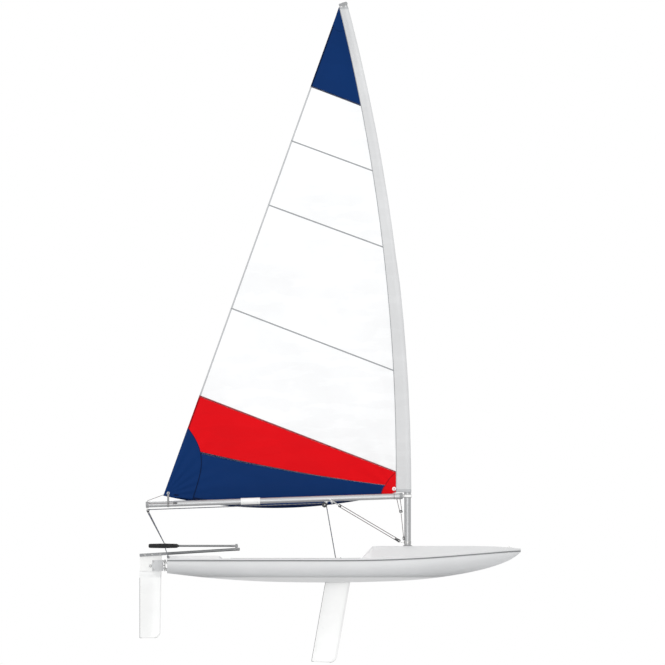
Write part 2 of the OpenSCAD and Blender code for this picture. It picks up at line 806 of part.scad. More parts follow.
tiller_radius = tiller_diameter / 2;
aft_deck_top_z = sheer_level + deck_edge + deck_camber + aft_deck_height;
tiller_z = aft_deck_top_z + 7 + tiller_radius;
// Places a child on the tiller's axis, a distance ahead of the hinge line.
module on_tiller(distance) {
    translate([hinge_x, 0, tiller_z]) rotate([0, -tiller_slope, 0])
        translate([distance, 0, 0]) children();
}
fork_bar = 6;
fork_reach = 28;
module tiller_fork() {
    inner = cheek_outer + 0.3;
    length = hinge_x - pivot_x + blade_half;
    color("silver") {
        on_tiller(0) {
            for (y = [-1, 1])
                translate([-length, y * (inner + fork_bar / 2) - fork_bar / 2, -tiller_radius])
                    cube([length + fork_reach, fork_bar, tiller_diameter]);
            difference() {
                translate([-14, -inner - fork_bar / 2, -tiller_radius])
                    cube([14 + fork_reach, 2 * inner + fork_bar, tiller_diameter]);
                rotate([0, 90, 0]) cylinder(r = tiller_radius - 2, h = 200);
            }
        }
    }
}
module tiller() {
    color("silver") on_tiller(0) {
        rotate([0, 90, 0]) cylinder(r = tiller_radius - 2, h = fork_reach);
        translate([fork_reach, 0, 0]) rotate([0, 90, 0])
            cylinder(r = tiller_radius, h = tiller_reach - fork_reach);
    }
}

joint_back = 26;
joint_x = hinge_x + (tiller_reach - joint_back) * cos(tiller_slope);
tiller_top_at_joint = tiller_z + (joint_x - hinge_x) * tan(tiller_slope)
    + tiller_radius / cos(tiller_slope);
extension_radius = extension_diameter / 2;
extension_z = tiller_top_at_joint + 8 + extension_radius;
joint_pin = 5;
socket_radius = 14;
module tiller_joint() {
    color("dimgray") translate([joint_x, 0, 0]) {
        difference() {
            translate([0, 0, tiller_top_at_joint - tiller_radius])
                cylinder(r = 13, h = extension_z - extension_radius - 2
                    - tiller_top_at_joint + tiller_radius);
            translate([-joint_x, 0, 0]) on_tiller(0) rotate([0, 90, 0])
                cylinder(r = tiller_radius, h = tiller_reach);
        }
        translate([0, 0, extension_z - extension_radius - 2])
            cylinder(r = joint_pin, h = extension_diameter + 6);
        translate([0, 0, extension_z + extension_radius + 2]) cylinder(r = 11, h = 6);
    }
}
// Places a child on the extension's axis, a distance behind the joint.
module on_extension(distance) {
    translate([joint_x, 0, extension_z]) rotate([0, 0, extension_yaw])
        translate([-distance, 0, 0]) children();
}
module extension_socket() {
    color("dimgray") on_extension(0) difference() {
        union() {
            cylinder(r = socket_radius, h = extension_diameter + 1, center = true);
            aft_tube(extension_radius, 46);
        }
        cylinder(r = joint_pin + 0.1, h = 60, center = true);
    }
}
module extension_tube() {
    color("lightgray") on_extension(46)
        aft_tube(extension_radius - 1, extension_length - grip_length - 46);
}
module extension_grip() {
    color("black") on_extension(extension_length - grip_length)
        aft_tube(grip_diameter / 2, grip_length);
}

// ---- Daggerboard ----

board_tip_radius = 72;
board_aft_radius = 10;
board_end_slope = 7;
board_end_round = board_tip_radius - board_aft_radius;
// How deep the aft corner goes, so that the sloping end runs into both rounds.
board_aft_depth = board_depth - board_end_round
    + (board_end_round + (board_chord - board_tip_radius - board_aft_radius) * sin(board_end_slope))
        / cos(board_end_slope);
board_head_z = case_top_z + 1;
module daggerboard() {
    half = board_chord / 2;
    color("white") intersection() {
        on_board_axis() upright_plate(board_thickness) polygon(concat(
            [[half, 400], [-half, 400]],
            arc(-half + board_aft_radius, -board_aft_depth + board_aft_radius,
                board_aft_radius, 180, 270 + board_end_slope),
            arc(half - board_tip_radius, -board_depth + board_tip_radius,
                board_tip_radius, 270 + board_end_slope, 360)));
        translate([-1000, -100, board_head_z - 3000]) cube([2000, 200, 3000]);
    }
}
board_head_height = 24;
board_head_width = case_width - 12;
module daggerboard_head() {
    color("dimgray") translate([board_axis_x(board_head_z), 0, board_head_z])
        linear_extrude(board_head_height)
            rounded_rectangle(board_chord + 12, board_head_width, 12);
}

hull_shell();
deck();
gunwale_strip();
transom_gudgeons();
drain_bung();
bow_eye();
mast_gate();
mainsheet_jammer();
traveller_eyes();
toe_strap();
toe_strap_anchors();
mast_lower();
mast_upper();
mast_cap();
sail_sleeve();
sail_head_panel();
sail_body();
sail_stripe();
sail_foot_panel();
gooseneck();
boom();
boom_end_cap();
boom_band();
boom_end_lug();
boom_middle_lug();
kicker_boom_lug();
kicker_mast_lug();
rudder_stock();
rudder_cheeks();
rudder_pintle();
tiller_fork();
tiller();
tiller_joint();
rudder_blade();
blade_pivot();
extension_socket();
extension_tube();
extension_grip();
daggerboard();
daggerboard_head();
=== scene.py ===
import json
import math
import random

import bmesh
import bpy
from mathutils import Matrix, Vector, noise
from mathutils.bvhtree import BVHTree


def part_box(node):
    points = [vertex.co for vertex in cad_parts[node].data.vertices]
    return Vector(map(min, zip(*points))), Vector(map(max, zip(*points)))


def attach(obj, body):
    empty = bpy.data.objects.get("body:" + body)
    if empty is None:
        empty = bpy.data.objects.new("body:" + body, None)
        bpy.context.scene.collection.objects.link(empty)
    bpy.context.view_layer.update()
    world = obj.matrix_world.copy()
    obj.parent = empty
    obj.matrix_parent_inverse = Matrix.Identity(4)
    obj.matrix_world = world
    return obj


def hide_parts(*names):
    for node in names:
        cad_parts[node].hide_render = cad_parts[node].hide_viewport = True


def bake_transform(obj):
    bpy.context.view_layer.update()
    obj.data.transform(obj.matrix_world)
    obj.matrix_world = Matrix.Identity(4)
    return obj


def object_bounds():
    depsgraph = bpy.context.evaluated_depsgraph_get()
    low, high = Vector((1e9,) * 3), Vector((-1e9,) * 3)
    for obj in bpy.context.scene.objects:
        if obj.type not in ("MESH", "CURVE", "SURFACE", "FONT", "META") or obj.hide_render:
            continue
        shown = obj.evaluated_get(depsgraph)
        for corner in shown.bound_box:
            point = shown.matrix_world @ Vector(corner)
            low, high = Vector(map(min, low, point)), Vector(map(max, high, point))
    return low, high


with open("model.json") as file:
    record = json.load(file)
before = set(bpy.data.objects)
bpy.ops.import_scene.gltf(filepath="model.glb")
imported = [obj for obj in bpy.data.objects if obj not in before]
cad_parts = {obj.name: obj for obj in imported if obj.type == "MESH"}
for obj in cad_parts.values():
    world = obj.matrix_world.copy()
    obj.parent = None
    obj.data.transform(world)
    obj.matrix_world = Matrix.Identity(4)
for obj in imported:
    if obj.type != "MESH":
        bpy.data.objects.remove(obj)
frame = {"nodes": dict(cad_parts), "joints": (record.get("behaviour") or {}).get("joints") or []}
cadLow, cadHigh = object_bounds()
joints = {j["name"]: j for j in frame["joints"]}
mastX = joints["rig_turn"]["pos_m"][0]
hingeX = joints["rudder_turn"]["pos_m"][0]
bladePivot = Vector(joints["blade_lift"]["pos_m"])
swingX = joints["extension_swing"]["pos_m"][0]
boardAxis = Vector(joints["daggerboard_lift"]["axis"])
random.seed(11)
print("frame loaded,", len(frame["nodes"]), "nodes")


def boxCentre(node):
    low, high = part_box(node)
    return (low + high) / 2


def boxSize(node):
    low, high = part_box(node)
    return high - low


def clip(value, low=0.0, high=1.0):
    return min(max(value, low), high)


def along(a, b, share):
    return a + (b - a) * share


# shader sums


def feed(socket, value):
    if isinstance(value, Wire):
        value.tree.links.new(value.socket, socket)
    elif socket.type == "RGBA" and len(value) == 3:
        socket.default_value = (*value, 1.0)
    else:
        socket.default_value = value


class Wire:
    def __init__(self, tree, socket):
        self.tree = tree
        self.socket = socket

    def maths(self, operation, other=0.0, swap=False, clamp=False):
        node = self.tree.nodes.new("ShaderNodeMath")
        node.operation = operation
        node.use_clamp = clamp
        feed(node.inputs[0], other if swap else self)
        feed(node.inputs[1], self if swap else other)
        return Wire(self.tree, node.outputs[0])

    def __add__(self, other):
        return self.maths("ADD", other)

    def __sub__(self, other):
        return self.maths("SUBTRACT", other)

    def __rsub__(self, other):
        return self.maths("SUBTRACT", other, swap=True)

    def __mul__(self, other):
        return self.maths("MULTIPLY", other)

    __radd__ = __add__
    __rmul__ = __mul__

    def clamped(self):
        return self.maths("ADD", 0.0, clamp=True)


class Paint:
    def __init__(self, name):
        self.material = bpy.data.materials.new(name)
        self.material.use_nodes = True
        self.tree = self.material.node_tree
        self.shader = self.tree.nodes["Principled BSDF"]

    def add(self, kind, settings=None, values=None, output=0):
        node = self.tree.nodes.new(kind)
        for key, value in (settings or {}).items():
            if key == "stops":
                ramp = node.color_ramp
                while len(ramp.elements) < len(value):
                    ramp.elements.new(0.5)
                for element, (place, colour) in zip(ramp.elements, value):
                    element.position = place
                    element.color = (*colour, 1.0) if len(colour) == 3 else colour
            else:
                setattr(node, key, value)
        for key, value in (values or {}).items():
            feed(node.inputs[key], value)
        return Wire(self.tree, node.outputs[output])

    def place(self, scale=(1, 1, 1), turn=(0, 0, 0), uv=None):
        if uv:
            source = self.add("ShaderNodeUVMap", {"uv_map": uv})
        else:
            source = self.add("ShaderNodeTexCoord", output="Object")
        return self.add("ShaderNodeMapping", None, {"Vector": source, "Scale": scale, "Rotation": turn})

    def noise(self, place, scale, detail=3.0, rough=0.5):
        return self.add(
            "ShaderNodeTexNoise", None,
            {"Vector": place, "Scale": scale, "Detail": detail, "Roughness": rough},
        )

    def ramp(self, factor, low, high):
        return self.add(
            "ShaderNodeMapRange", {"clamp": True}, {"Value": factor, "From Min": low, "From Max": high},
        )

    def mix(self, factor, a, b):
        return self.add("ShaderNodeMix", {"data_type": "RGBA"}, {0: factor, 6: a, 7: b}, output=2)

    def bump(self, height, distance, strength=1.0, under=None):
        values = {"Height": height, "Distance": distance, "Strength": strength}
        if under:
            values["Normal"] = under
        return self.add("ShaderNodeBump", None, values)

    def finish(self, **values):
        for key, value in values.items():
            feed(self.shader.inputs[key.replace("_", " ")], value)
        return self.material


# finishes


def shade(colour, factor):
    return tuple(c * factor for c in colour)


def mouldedPlastic(name, colour, rough=0.42, peel=0.5, scuff=0.5):
    p = Paint(name)
    place = p.place()
    cloudy = p.noise(place, 2.3, 4.0)
    speckle = p.noise(place, 260.0, 2.0)
    orangePeel = p.noise(place, 95.0, 2.0, 0.6)
    scratches = p.noise(p.place((14.0, 90.0, 160.0), (0.0, 0.1, 0.25)), 1.0, 5.0, 0.65)
    scuffed = p.ramp(scratches, 0.62, 0.72) * p.ramp(p.noise(place, 5.0, 2.0), 0.45, 0.62) * scuff
    tone = p.mix(p.ramp(cloudy, 0.3, 0.7), shade(colour, 0.965), shade(colour, 1.02))
    tone = p.mix(p.ramp(speckle, 0.55, 0.8) * 0.22, tone, shade(colour, 0.86))
    tone = p.mix(scuffed * 0.35, tone, shade(colour, 0.72))
    height = orangePeel * peel + scuffed * -0.3
    return p.finish(
        Base_Color=tone,
        Roughness=(rough + (cloudy - 0.5) * 0.16 + scuffed * 0.22).clamped(),
        Normal=p.bump(height, 0.0006, 0.5),
        Specular_IOR_Level=0.45,
    )


def alloy(name, colour, rough=0.34, grain=(3.0, 240.0, 240.0)):
    p = Paint(name)
    brushed = p.noise(p.place(grain), 1.0, 4.0, 0.6)
    handled = p.noise(p.place(), 7.0, 3.0)
    scratch = p.ramp(p.noise(p.place((40.0, 500.0, 300.0), (0.2, 0.3, 0.1)), 1.0, 2.0), 0.7, 0.76)
    tone = p.mix(p.ramp(brushed, 0.3, 0.7), shade(colour, 0.92), shade(colour, 1.05))
    tone = p.mix(scratch * 0.4, tone, shade(colour, 1.22))
    return p.finish(
        Base_Color=tone,
        Metallic=0.72,
        Roughness=(rough + (brushed - 0.5) * 0.2 + (handled - 0.5) * 0.14).clamped(),
        Normal=p.bump(brushed + scratch * -0.6, 0.0003, 0.35),
    )


def sailCloth(name, colour, rough=0.5, weaveSize=0.0032):
    p = Paint(name)
    uv = p.place((1.0, 1.0, 1.0), uv="cloth")
    warp = p.add(
        "ShaderNodeTexWave", {"bands_direction": "X"},
        {"Vector": uv, "Scale": 0.314 / weaveSize, "Distortion": 0.4, "Detail": 1.0},
    )
    weft = p.add(
        "ShaderNodeTexWave", {"bands_direction": "Y"},
        {"Vector": uv, "Scale": 0.314 / weaveSize, "Distortion": 0.4, "Detail": 1.0},
    )
    crinkle = p.noise(p.place((5.0, 13.0, 1.0), (0.0, 0.0, 0.35), uv="cloth"), 1.0, 6.0, 0.6)
    crease = p.ramp(p.noise(p.place((2.2, 8.0, 1.0), (0.0, 0.0, -0.5), uv="cloth"), 1.0, 3.0), 0.47, 0.5)
    weave = warp * weft
    soft = p.noise(uv, 1.6, 4.0)
    tone = p.mix(p.ramp(soft, 0.3, 0.72), shade(colour, 0.95), shade(colour, 1.03))
    tone = p.mix(weave * 0.10, tone, shade(colour, 0.82))
    # painted shade: the cloth on one side of each crease line is painted a little darker, as the shaded side
    # of a fold; the same mask also bumps the crease
    tone = p.mix(crease * 0.05, tone, shade(colour, 0.6))
    weaveBump = p.bump(weave, 0.0003, 0.3)
    return p.finish(
        Base_Color=tone,
        Roughness=(rough + (crinkle - 0.5) * 0.3 + weave * 0.06).clamped(),
        Normal=p.bump(crinkle + crease * 0.25, 0.004, 0.35, weaveBump),
        Specular_IOR_Level=0.05,
    )


def ropeFinish(name, colour, fleck, pitch=0.011):
    p = Paint(name)
    right = p.add(
        "ShaderNodeTexWave", None,
        {"Vector": p.place((1.0, 1.0, 1.0), (0.0, 0.0, 0.7), uv="lay"), "Scale": 0.314 / pitch * 1.4},
    )
    left = p.add(
        "ShaderNodeTexWave", None,
        {"Vector": p.place((1.0, 1.0, 1.0), (0.0, 0.0, -0.7), uv="lay"), "Scale": 0.314 / pitch * 1.4},
    )
    braid = right * left
    flecked = p.ramp(
        p.add(
            "ShaderNodeTexWave", None,
            {"Vector": p.place((1.0, 1.0, 1.0), (0.0, 0.0, 0.7), uv="lay"), "Scale": 0.314 / pitch / 3.0},
        ),
        0.82, 0.9,
    )
    tone = p.mix(flecked, colour, fleck)
    # painted shade: the grooves between the strands, where the braid height is low, are painted down to 45 %
    # of the rope's colour
    tone = p.mix(p.ramp(braid, 0.0, 0.35), shade(colour, 0.45), tone)
    return p.finish(Base_Color=tone, Roughness=0.8, Normal=p.bump(braid, 0.0012, 0.8), Sheen_Weight=0.2)


def webbingFinish(name, colour):
    p = Paint(name)
    uv = p.place(uv="cloth")
    ribs = p.add(
        "ShaderNodeTexWave", {"bands_direction": "X"},
        {"Vector": uv, "Scale": 0.314 / 0.0022, "Distortion": 0.2},
    )
    rows = p.add("ShaderNodeTexWave", {"bands_direction": "Y"}, {"Vector": uv, "Scale": 0.314 / 0.0028})
    worn = p.ramp(p.noise(uv, 30.0, 4.0), 0.5, 0.75)
    # painted shade and painted highlight: the weave is painted darker between the ribs and lighter on their
    # tops, following the bump's rib height
    tone = p.mix(ribs * rows, shade(colour, 0.6), shade(colour, 1.8))
    tone = p.mix(worn * 0.3, tone, shade(colour, 3.2))
    return p.finish(
        Base_Color=tone, Roughness=0.85, Normal=p.bump(ribs + rows, 0.0008, 0.7), Sheen_Weight=0.25,
    )


def foamFinish(name, colour):
    p = Paint(name)
    cells = p.add("ShaderNodeTexVoronoi", None, {"Vector": p.place(), "Scale": 650.0})
    worn = p.ramp(p.noise(p.place(), 22.0, 4.0), 0.5, 0.72)
    tone = p.mix(worn * 0.5, colour, shade(colour, 2.6))
    return p.finish(Base_Color=tone, Roughness=0.9, Normal=p.bump(cells, 0.0008, 0.6))


def gelcoat(name, colour):
    p = Paint(name)
    place = p.place()
    wave = p.noise(place, 7.0, 3.0)
    scratch = p.ramp(p.noise(p.place((30.0, 200.0, 12.0), (0.0, 0.3, 0.0)), 1.0, 4.0, 0.7), 0.63, 0.7)
    tone = p.mix(p.ramp(wave, 0.3, 0.7), shade(colour, 0.97), shade(colour, 1.01))
    tone = p.mix(scratch * 0.25, tone, shade(colour, 0.7))
    return p.finish(
        Base_Color=tone,
        Roughness=(0.24 + (wave - 0.5) * 0.15 + scratch * 0.25).clamped(),
        Normal=p.bump(wave * 0.4 + scratch * -0.2, 0.0008, 0.35),
        Coat_Weight=0.3,
        Coat_Roughness=0.12,
    )


def deckGripFinish(name, colour):
    p = Paint(name)
    place = p.place()
    grit = p.add("ShaderNodeTexVoronoi", None, {"Vector": place, "Scale": 420.0})
    dirty = p.ramp(p.noise(place, 6.0, 5.0, 0.6), 0.42, 0.75)
    tone = p.mix(dirty * 0.5, colour, shade(colour, 0.84))
    return p.finish(Base_Color=tone, Roughness=0.72, Normal=p.bump(grit, 0.0007, 0.5))


hullGrey = (0.685, 0.69, 0.695)
finishes = {
    "hull": mouldedPlastic("hullPlastic", hullGrey, 0.4, 0.5, 0.6),
    "deckGrip": deckGripFinish("deckGrip", shade(hullGrey, 0.84)),
    "strip": mouldedPlastic("gunwaleRubber", (0.19, 0.195, 0.2), 0.6, 0.3, 0.8),
    "dark": mouldedPlastic("blackNylon", (0.03, 0.03, 0.032), 0.45, 0.6, 0.5),
    "white": mouldedPlastic("whiteNylon", (0.87, 0.87, 0.86), 0.4, 0.4, 0.4),
    "alloy": alloy("anodisedAlloy", (0.51, 0.515, 0.52), 0.4),
    "mastAlloy": alloy("mastAlloy", (0.42, 0.425, 0.43), 0.38, (240.0, 240.0, 3.0)),
    "tillerAlloy": alloy("tillerAlloy", (0.21, 0.215, 0.22), 0.36),
    "stockAlloy": alloy("stockAlloy", (0.48, 0.485, 0.49), 0.42, (90.0, 240.0, 6.0)),
    "steel": alloy("stainlessSteel", (0.46, 0.46, 0.455), 0.28, (60.0, 60.0, 60.0)),
    "sailWhite": sailCloth("sailWhite", (0.88, 0.885, 0.89)),
    "sailNavy": sailCloth("sailNavy", (0.003, 0.027, 0.121)),
    "sailRed": sailCloth("sailRed", (0.69, 0.003, 0.007)),
    "sleeve": sailCloth("sleeveCloth", (0.645, 0.65, 0.655)),
    "tape": sailCloth("seamTape", (0.33, 0.34, 0.35), 0.45),
    "leechTape": sailCloth("leechTape", (0.50, 0.51, 0.52), 0.45),
    "navyTape": sailCloth("navySeam", (0.002, 0.010, 0.045)),
    "redTape": sailCloth("redSeam", (0.30, 0.004, 0.009)),
    "thread": mouldedPlastic("thread", (0.42, 0.43, 0.45), 0.7, 0.1, 0.0),
    "sheetRope": ropeFinish("sheetRope", (0.22, 0.225, 0.23), (0.02, 0.05, 0.2), 0.012),
    "controlRope": ropeFinish("controlRope", (0.17, 0.175, 0.18), (0.30, 0.02, 0.02), 0.008),
    "webbing": webbingFinish("webbing", (0.025, 0.025, 0.028)),
    "whiteWebbing": webbingFinish("whiteWebbing", (0.42, 0.42, 0.42)),
    "foam": foamFinish("gripFoam", (0.012, 0.012, 0.013)),
    "foil": gelcoat("foilGelcoat", (0.87, 0.875, 0.87)),
    "greyNylon": mouldedPlastic("greyNylon", (0.30, 0.305, 0.31), 0.45, 0.5, 0.5),
}
print("finishes made,", len(finishes))


# making pieces


def piece(name, bm, body, finish, stands=(), crease=35, merge=0.0, outward=True):
    if merge:
        bmesh.ops.remove_doubles(bm, verts=bm.verts, dist=merge)
    if outward:
        bmesh.ops.recalc_face_normals(bm, faces=bm.faces)
    for face in bm.faces:
        face.smooth = True
    for edge in bm.edges:
        if len(edge.link_faces) == 2 and edge.calc_face_angle(0) > math.radians(crease):
            edge.smooth = False
    mesh = bpy.data.meshes.new(name)
    bm.to_mesh(mesh)
    bm.free()
    made = bpy.data.objects.new(name, mesh)
    bpy.context.scene.collection.objects.link(made)
    mesh.materials.append(finishes[finish])
    if body:
        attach(made, body)
    if stands:
        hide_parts(*stands)
    return made


def modifier(made, kind, **settings):
    added = made.modifiers.new(kind.lower(), kind)
    for key, value in settings.items():
        setattr(added, key, value)
    return added


def moved(bm, verts, matrix):
    bmesh.ops.transform(bm, matrix=matrix, verts=verts)
    return verts


def facing(axis, origin=(0, 0, 0)):
    return Matrix.Translation(origin) @ Vector(axis).to_track_quat("Z", "Y").to_matrix().to_4x4()


def bevelAll(bm, verts, size, segments=2, sharp=30):
    owned = set(verts)
    edges = [
        e for e in bm.edges
        if owned.issuperset(e.verts) and len(e.link_faces) == 2 and e.calc_face_angle(0) > math.radians(sharp)
    ]
    bmesh.ops.bevel(
        bm, geom=edges, offset=size, offset_type="OFFSET", segments=segments,
        profile=0.5, affect="EDGES", material=-1, clamp_overlap=True,
    )


def addBox(bm, centre, size, bevel=0.0, turn=Matrix.Identity(4)):
    part = bmesh.new()
    bmesh.ops.create_cube(part, size=1.0)
    bmesh.ops.scale(part, vec=size, verts=part.verts)
    if bevel:
        bevelAll(part, part.verts, bevel)
    moved(part, part.verts, Matrix.Translation(centre) @ turn)
    join(bm, part)


def join(bm, part):
    mesh = bpy.data.meshes.new("part")
    part.to_mesh(mesh)
    part.free()
    bm.from_mesh(mesh)
    bpy.data.meshes.remove(mesh)


def addLathe(bm, profile, matrix, steps=24):
    # profile is (radius, height) from the foot up, turned about the matrix's own Z
    part = bmesh.new()
    verts = [part.verts.new((r, 0, z)) for r, z in profile]
    edges = [part.edges.new(pair) for pair in zip(verts, verts[1:])]
    bmesh.ops.spin(
        part, geom=verts + edges, cent=(0, 0, 0), axis=(0, 0, 1), angle=math.tau,
        steps=steps, use_merge=True,
    )
    bmesh.ops.remove_doubles(part, verts=part.verts, dist=1e-6)
    bmesh.ops.recalc_face_normals(part, faces=part.faces)
    moved(part, part.verts, matrix)
    join(bm, part)


def smoothPath(points, steps=8):
    # a curve through the points
    points = [Vector(p) for p in points]
    ends = [2 * points[0] - points[1], *points, 2 * points[-1] - points[-2]]
    path = []
    for a, b, c, d in zip(ends, ends[1:], ends[2:], ends[3:]):
        for k in range(steps):
            t = k / steps
            path.append(
                0.5 * (2 * b + (c - a) * t + (2 * a - 5 * b + 4 * c - d) * t * t
                       + (3 * b - a - 3 * c + d) * t ** 3)
            )
    return [*path, points[-1]]


def addTube(bm, path, radius, sides=10, flat=1.0, up=(0, 0, 1), lay=True):
    # a rope, rod or strap: a ring extruded from point to point
    part = bmesh.new()
    uv = part.loops.layers.uv.new("lay")
    path = [Vector(p) for p in path]
    travelled = [0.0]
    for a, b in zip(path, path[1:]):
        travelled.append(travelled[-1] + (b - a).length)
    side = None
    frames = []
    for k, point in enumerate(path):
        way = (path[min(k + 1, len(path) - 1)] - path[max(k - 1, 0)]).normalized()
        seed = side if side is not None else (
            Vector(up) if abs(way.dot(Vector(up))) < 0.95 else Vector((1, 0, 0))
        )
        side = (seed - way * seed.dot(way)).normalized()
        frames.append((point, side, way.cross(side)))

    def target(k, j):
        point, first, second = frames[k]
        turn = math.tau * j / sides
        return point + first * (radius * flat * math.cos(turn)) + second * (radius * math.sin(turn))

    ring = bmesh.ops.create_circle(part, cap_ends=False, radius=1.0, segments=sides)["verts"]
    for j, v in enumerate(ring):
        v.co = target(0, j)
    part.verts.index_update()
    place = {v: (0.0, j) for j, v in enumerate(ring)}
    loop = [part.edges.get((ring[j], ring[(j + 1) % sides])) for j in range(sides)]
    first = list(loop)
    for k in range(1, len(path)):
        before = [e.verts[:] for e in loop]
        made = bmesh.ops.extrude_edge_only(part, edges=loop)["geom"]
        verts = [g for g in made if isinstance(g, bmesh.types.BMVert)]
        loop = [g for g in made if isinstance(g, bmesh.types.BMEdge)]
        older = {v for pair in before for v in pair}
        for v in verts:
            mate = next(e.other_vert(v) for e in v.link_edges if e.other_vert(v) in older)
            j = place[mate][1]
            place[v] = (travelled[k], j)
            v.co = target(k, j)
    for face in part.faces:
        numbers = [place[c.vert][1] for c in face.loops]
        wrap = max(numbers) - min(numbers) > 1
        for corner in face.loops:
            run, j = place[corner.vert]
            if wrap and j == 0:
                j = sides
            corner[uv].uv = (run, j / sides * math.tau * radius)
    bmesh.ops.holes_fill(part, edges=[*first, *loop], sides=sides)
    bmesh.ops.recalc_face_normals(part, faces=part.faces)
    join(bm, part)


def addScrews(bm, places, radius=0.004, axis=(0, 0, 1)):
    for place in places:
        profile = [
            (radius, -0.001), (radius, 0.0004), (radius * 0.8, 0.0012), (radius * 0.35, 0.0018), (0, 0.0018),
        ]
        addLathe(bm, profile, facing(axis, place), 12)


def copyOf(node):
    bm = bmesh.new()
    bm.from_mesh(frame["nodes"][node].data)
    bmesh.ops.remove_doubles(bm, verts=bm.verts, dist=2e-5)
    return bm


# camera, light and floor

studio = {
    "border": 0.037, "aside": 0.0226, "lower": 0.0028, "worldLight": 0.76, "keyLight": 230.0,
    "fillLight": 90.0, "frontLight": 225.0, "showThrough": 0.42,
}


def makeStudio():
    middle = (cadLow + cadHigh) / 2
    bpy.context.scene.view_settings.view_transform = "Standard"
    camera = bpy.data.cameras.new("camera")
    camera.type = "ORTHO"
    camera.ortho_scale = cadHigh.z - cadLow.z + studio["border"]
    seat = bpy.data.objects.new("camera", camera)
    seat.location = (middle.x + studio["aside"], middle.y - 12.0, middle.z - studio["lower"])
    seat.rotation_euler = (math.radians(90), 0, 0)
    bpy.context.scene.collection.objects.link(seat)
    bpy.context.scene.camera = seat

    world = bpy.data.worlds.new("studio")
    bpy.context.scene.world = world
    world.use_nodes = True
    tree = world.node_tree
    rays = tree.nodes.new("ShaderNodeLightPath")
    seen = Wire(tree, rays.outputs["Is Camera Ray"]).maths(
        "MAXIMUM", Wire(tree, rays.outputs["Is Transmission Ray"]),
    )
    seen = seen.maths("MAXIMUM", Wire(tree, rays.outputs["Is Glossy Ray"]) * 0.55)
    back = tree.nodes["Background"]
    back.inputs["Color"].default_value = (1, 1, 1, 1)
    feed(back.inputs["Strength"], (seen * (1.0 - studio["worldLight"])) + studio["worldLight"])

    def lamp(name, place, size, power):
        light = bpy.data.lights.new(name, "AREA")
        light.shape = "DISK"
        light.size = size
        light.energy = power
        made = bpy.data.objects.new(name, light)
        made.location = place
        made.rotation_euler = (Vector((0, 0, 2.0)) - Vector(place)).to_track_quat("-Z", "Y").to_euler()
        bpy.context.scene.collection.objects.link(made)

    lamp("key", (4.5, -6.5, 8.0), 4.0, studio["keyLight"])
    lamp("front", (0.5, -9.0, 0.3), 6.0, studio["frontLight"])
    lamp("fill", (-7.0, -3.0, 3.5), 5.0, studio["fillLight"])
    lamp("back", (-2.0, 8.0, 6.0), 5.0, studio["keyLight"] * 0.5)

    bm = bmesh.new()
    bmesh.ops.create_grid(bm, x_segments=4, y_segments=4, size=30.0)
    mesh = bpy.data.meshes.new("floor")
    bm.to_mesh(mesh)
    bm.free()
    floor = bpy.data.objects.new("floor", mesh)
    bpy.context.scene.collection.objects.link(floor)
    p = Paint("paleFloor")
    p.finish(Base_Color=(0.86, 0.87, 0.88), Roughness=0.9)
    below = p.add("ShaderNodeNewGeometry", output="Backfacing")
    clear = p.add("ShaderNodeBsdfTransparent")
    factor = below.maths("MAXIMUM", studio["showThrough"])
    mixed = p.add("ShaderNodeMixShader", None, {0: factor, 1: Wire(p.tree, p.shader.outputs[0]), 2: clear})
    p.tree.links.new(mixed.socket, p.tree.nodes["Material Output"].inputs["Surface"])
    mesh.materials.append(p.material)


makeStudio()
print("studio made")


# hull and deck

hull = {
    "gripPitch": 0.014,
    "gripHeight": 0.0011,
    "rimRadius": 0.0055,
    "padGap": 0.045,
}
well = {"aft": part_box("toe_strap_anchors")[0].x, "front": 0.150, "half": 0.240, "corner": 0.070}
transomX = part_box("hull_shell")[0].x


def deckSurface():
    bm = copyOf("deck")
    tree = BVHTree.FromBMesh(bm)
    bm.free()
    return tree


deckTree = deckSurface()


def deckHeight(x, y):
    hit = deckTree.ray_cast(Vector((x, y, 2.0)), Vector((0, 0, -1)))
    return hit[0].z if hit[0] else 0.0


def makeHull():
    for name, node in (("hullMoulding", "hull_shell"), ("deckMoulding", "deck")):
        bm = copyOf(node)
        piece(name, bm, "hull", "hull", [node], outward=False, crease=28)
    bm = copyOf("gunwale_strip")
    made = piece("gunwaleStrip", bm, "hull", "strip", ["gunwale_strip"], outward=False)
    modifier(made, "BEVEL", width=0.0022, segments=3, limit_method="ANGLE", angle_limit=math.radians(40))


def beamAt(x):
    # half-breadth of the deck, felt for from outside
    y = cadHigh.y
    while y > 0 and not deckHeight(x, y):
        y -= 0.004
    return y


def addPad(bm, xFrom, xTo, inner, outer, corner=0.03):
    # a moulded non-slip patch: rows of small points between two edges, given at each x
    pitch, height = hull["gripPitch"] / 2, hull["gripHeight"]
    part = bmesh.new()
    columns = max(int((xTo - xFrom) / pitch), 4)
    rows = max(int((outer((xFrom + xTo) / 2) - inner((xFrom + xTo) / 2)) / pitch), 4)
    bmesh.ops.create_grid(part, x_segments=columns, y_segments=rows, size=1.0)
    for v in part.verts:
        i = round((v.co.x + 1) / 2 * columns)
        j = round((v.co.y + 1) / 2 * rows)
        x = along(xFrom, xTo, i / columns)
        near = min(x - xFrom, xTo - x)
        pull = corner - math.sqrt(corner ** 2 - (corner - near) ** 2) if near < corner else 0.0
        y = along(inner(x) + pull, outer(x) - pull, j / rows)
        rim = min(i, columns - i, j, rows - j)
        lift = -0.0008 if rim == 0 else (height if rim > 2 and i % 2 and (i + j) % 2 else 0.0004)
        v.co = (x, y, max(deckHeight(x, y), 0.0) + lift)
    join(bm, part)


def addSidePad(bm, side, *span):
    part = bmesh.new()
    addPad(part, *span)
    if side < 0:
        bmesh.ops.scale(part, vec=(1, -1, 1), verts=part.verts)
        bmesh.ops.reverse_faces(part, faces=part.faces)
    join(bm, part)


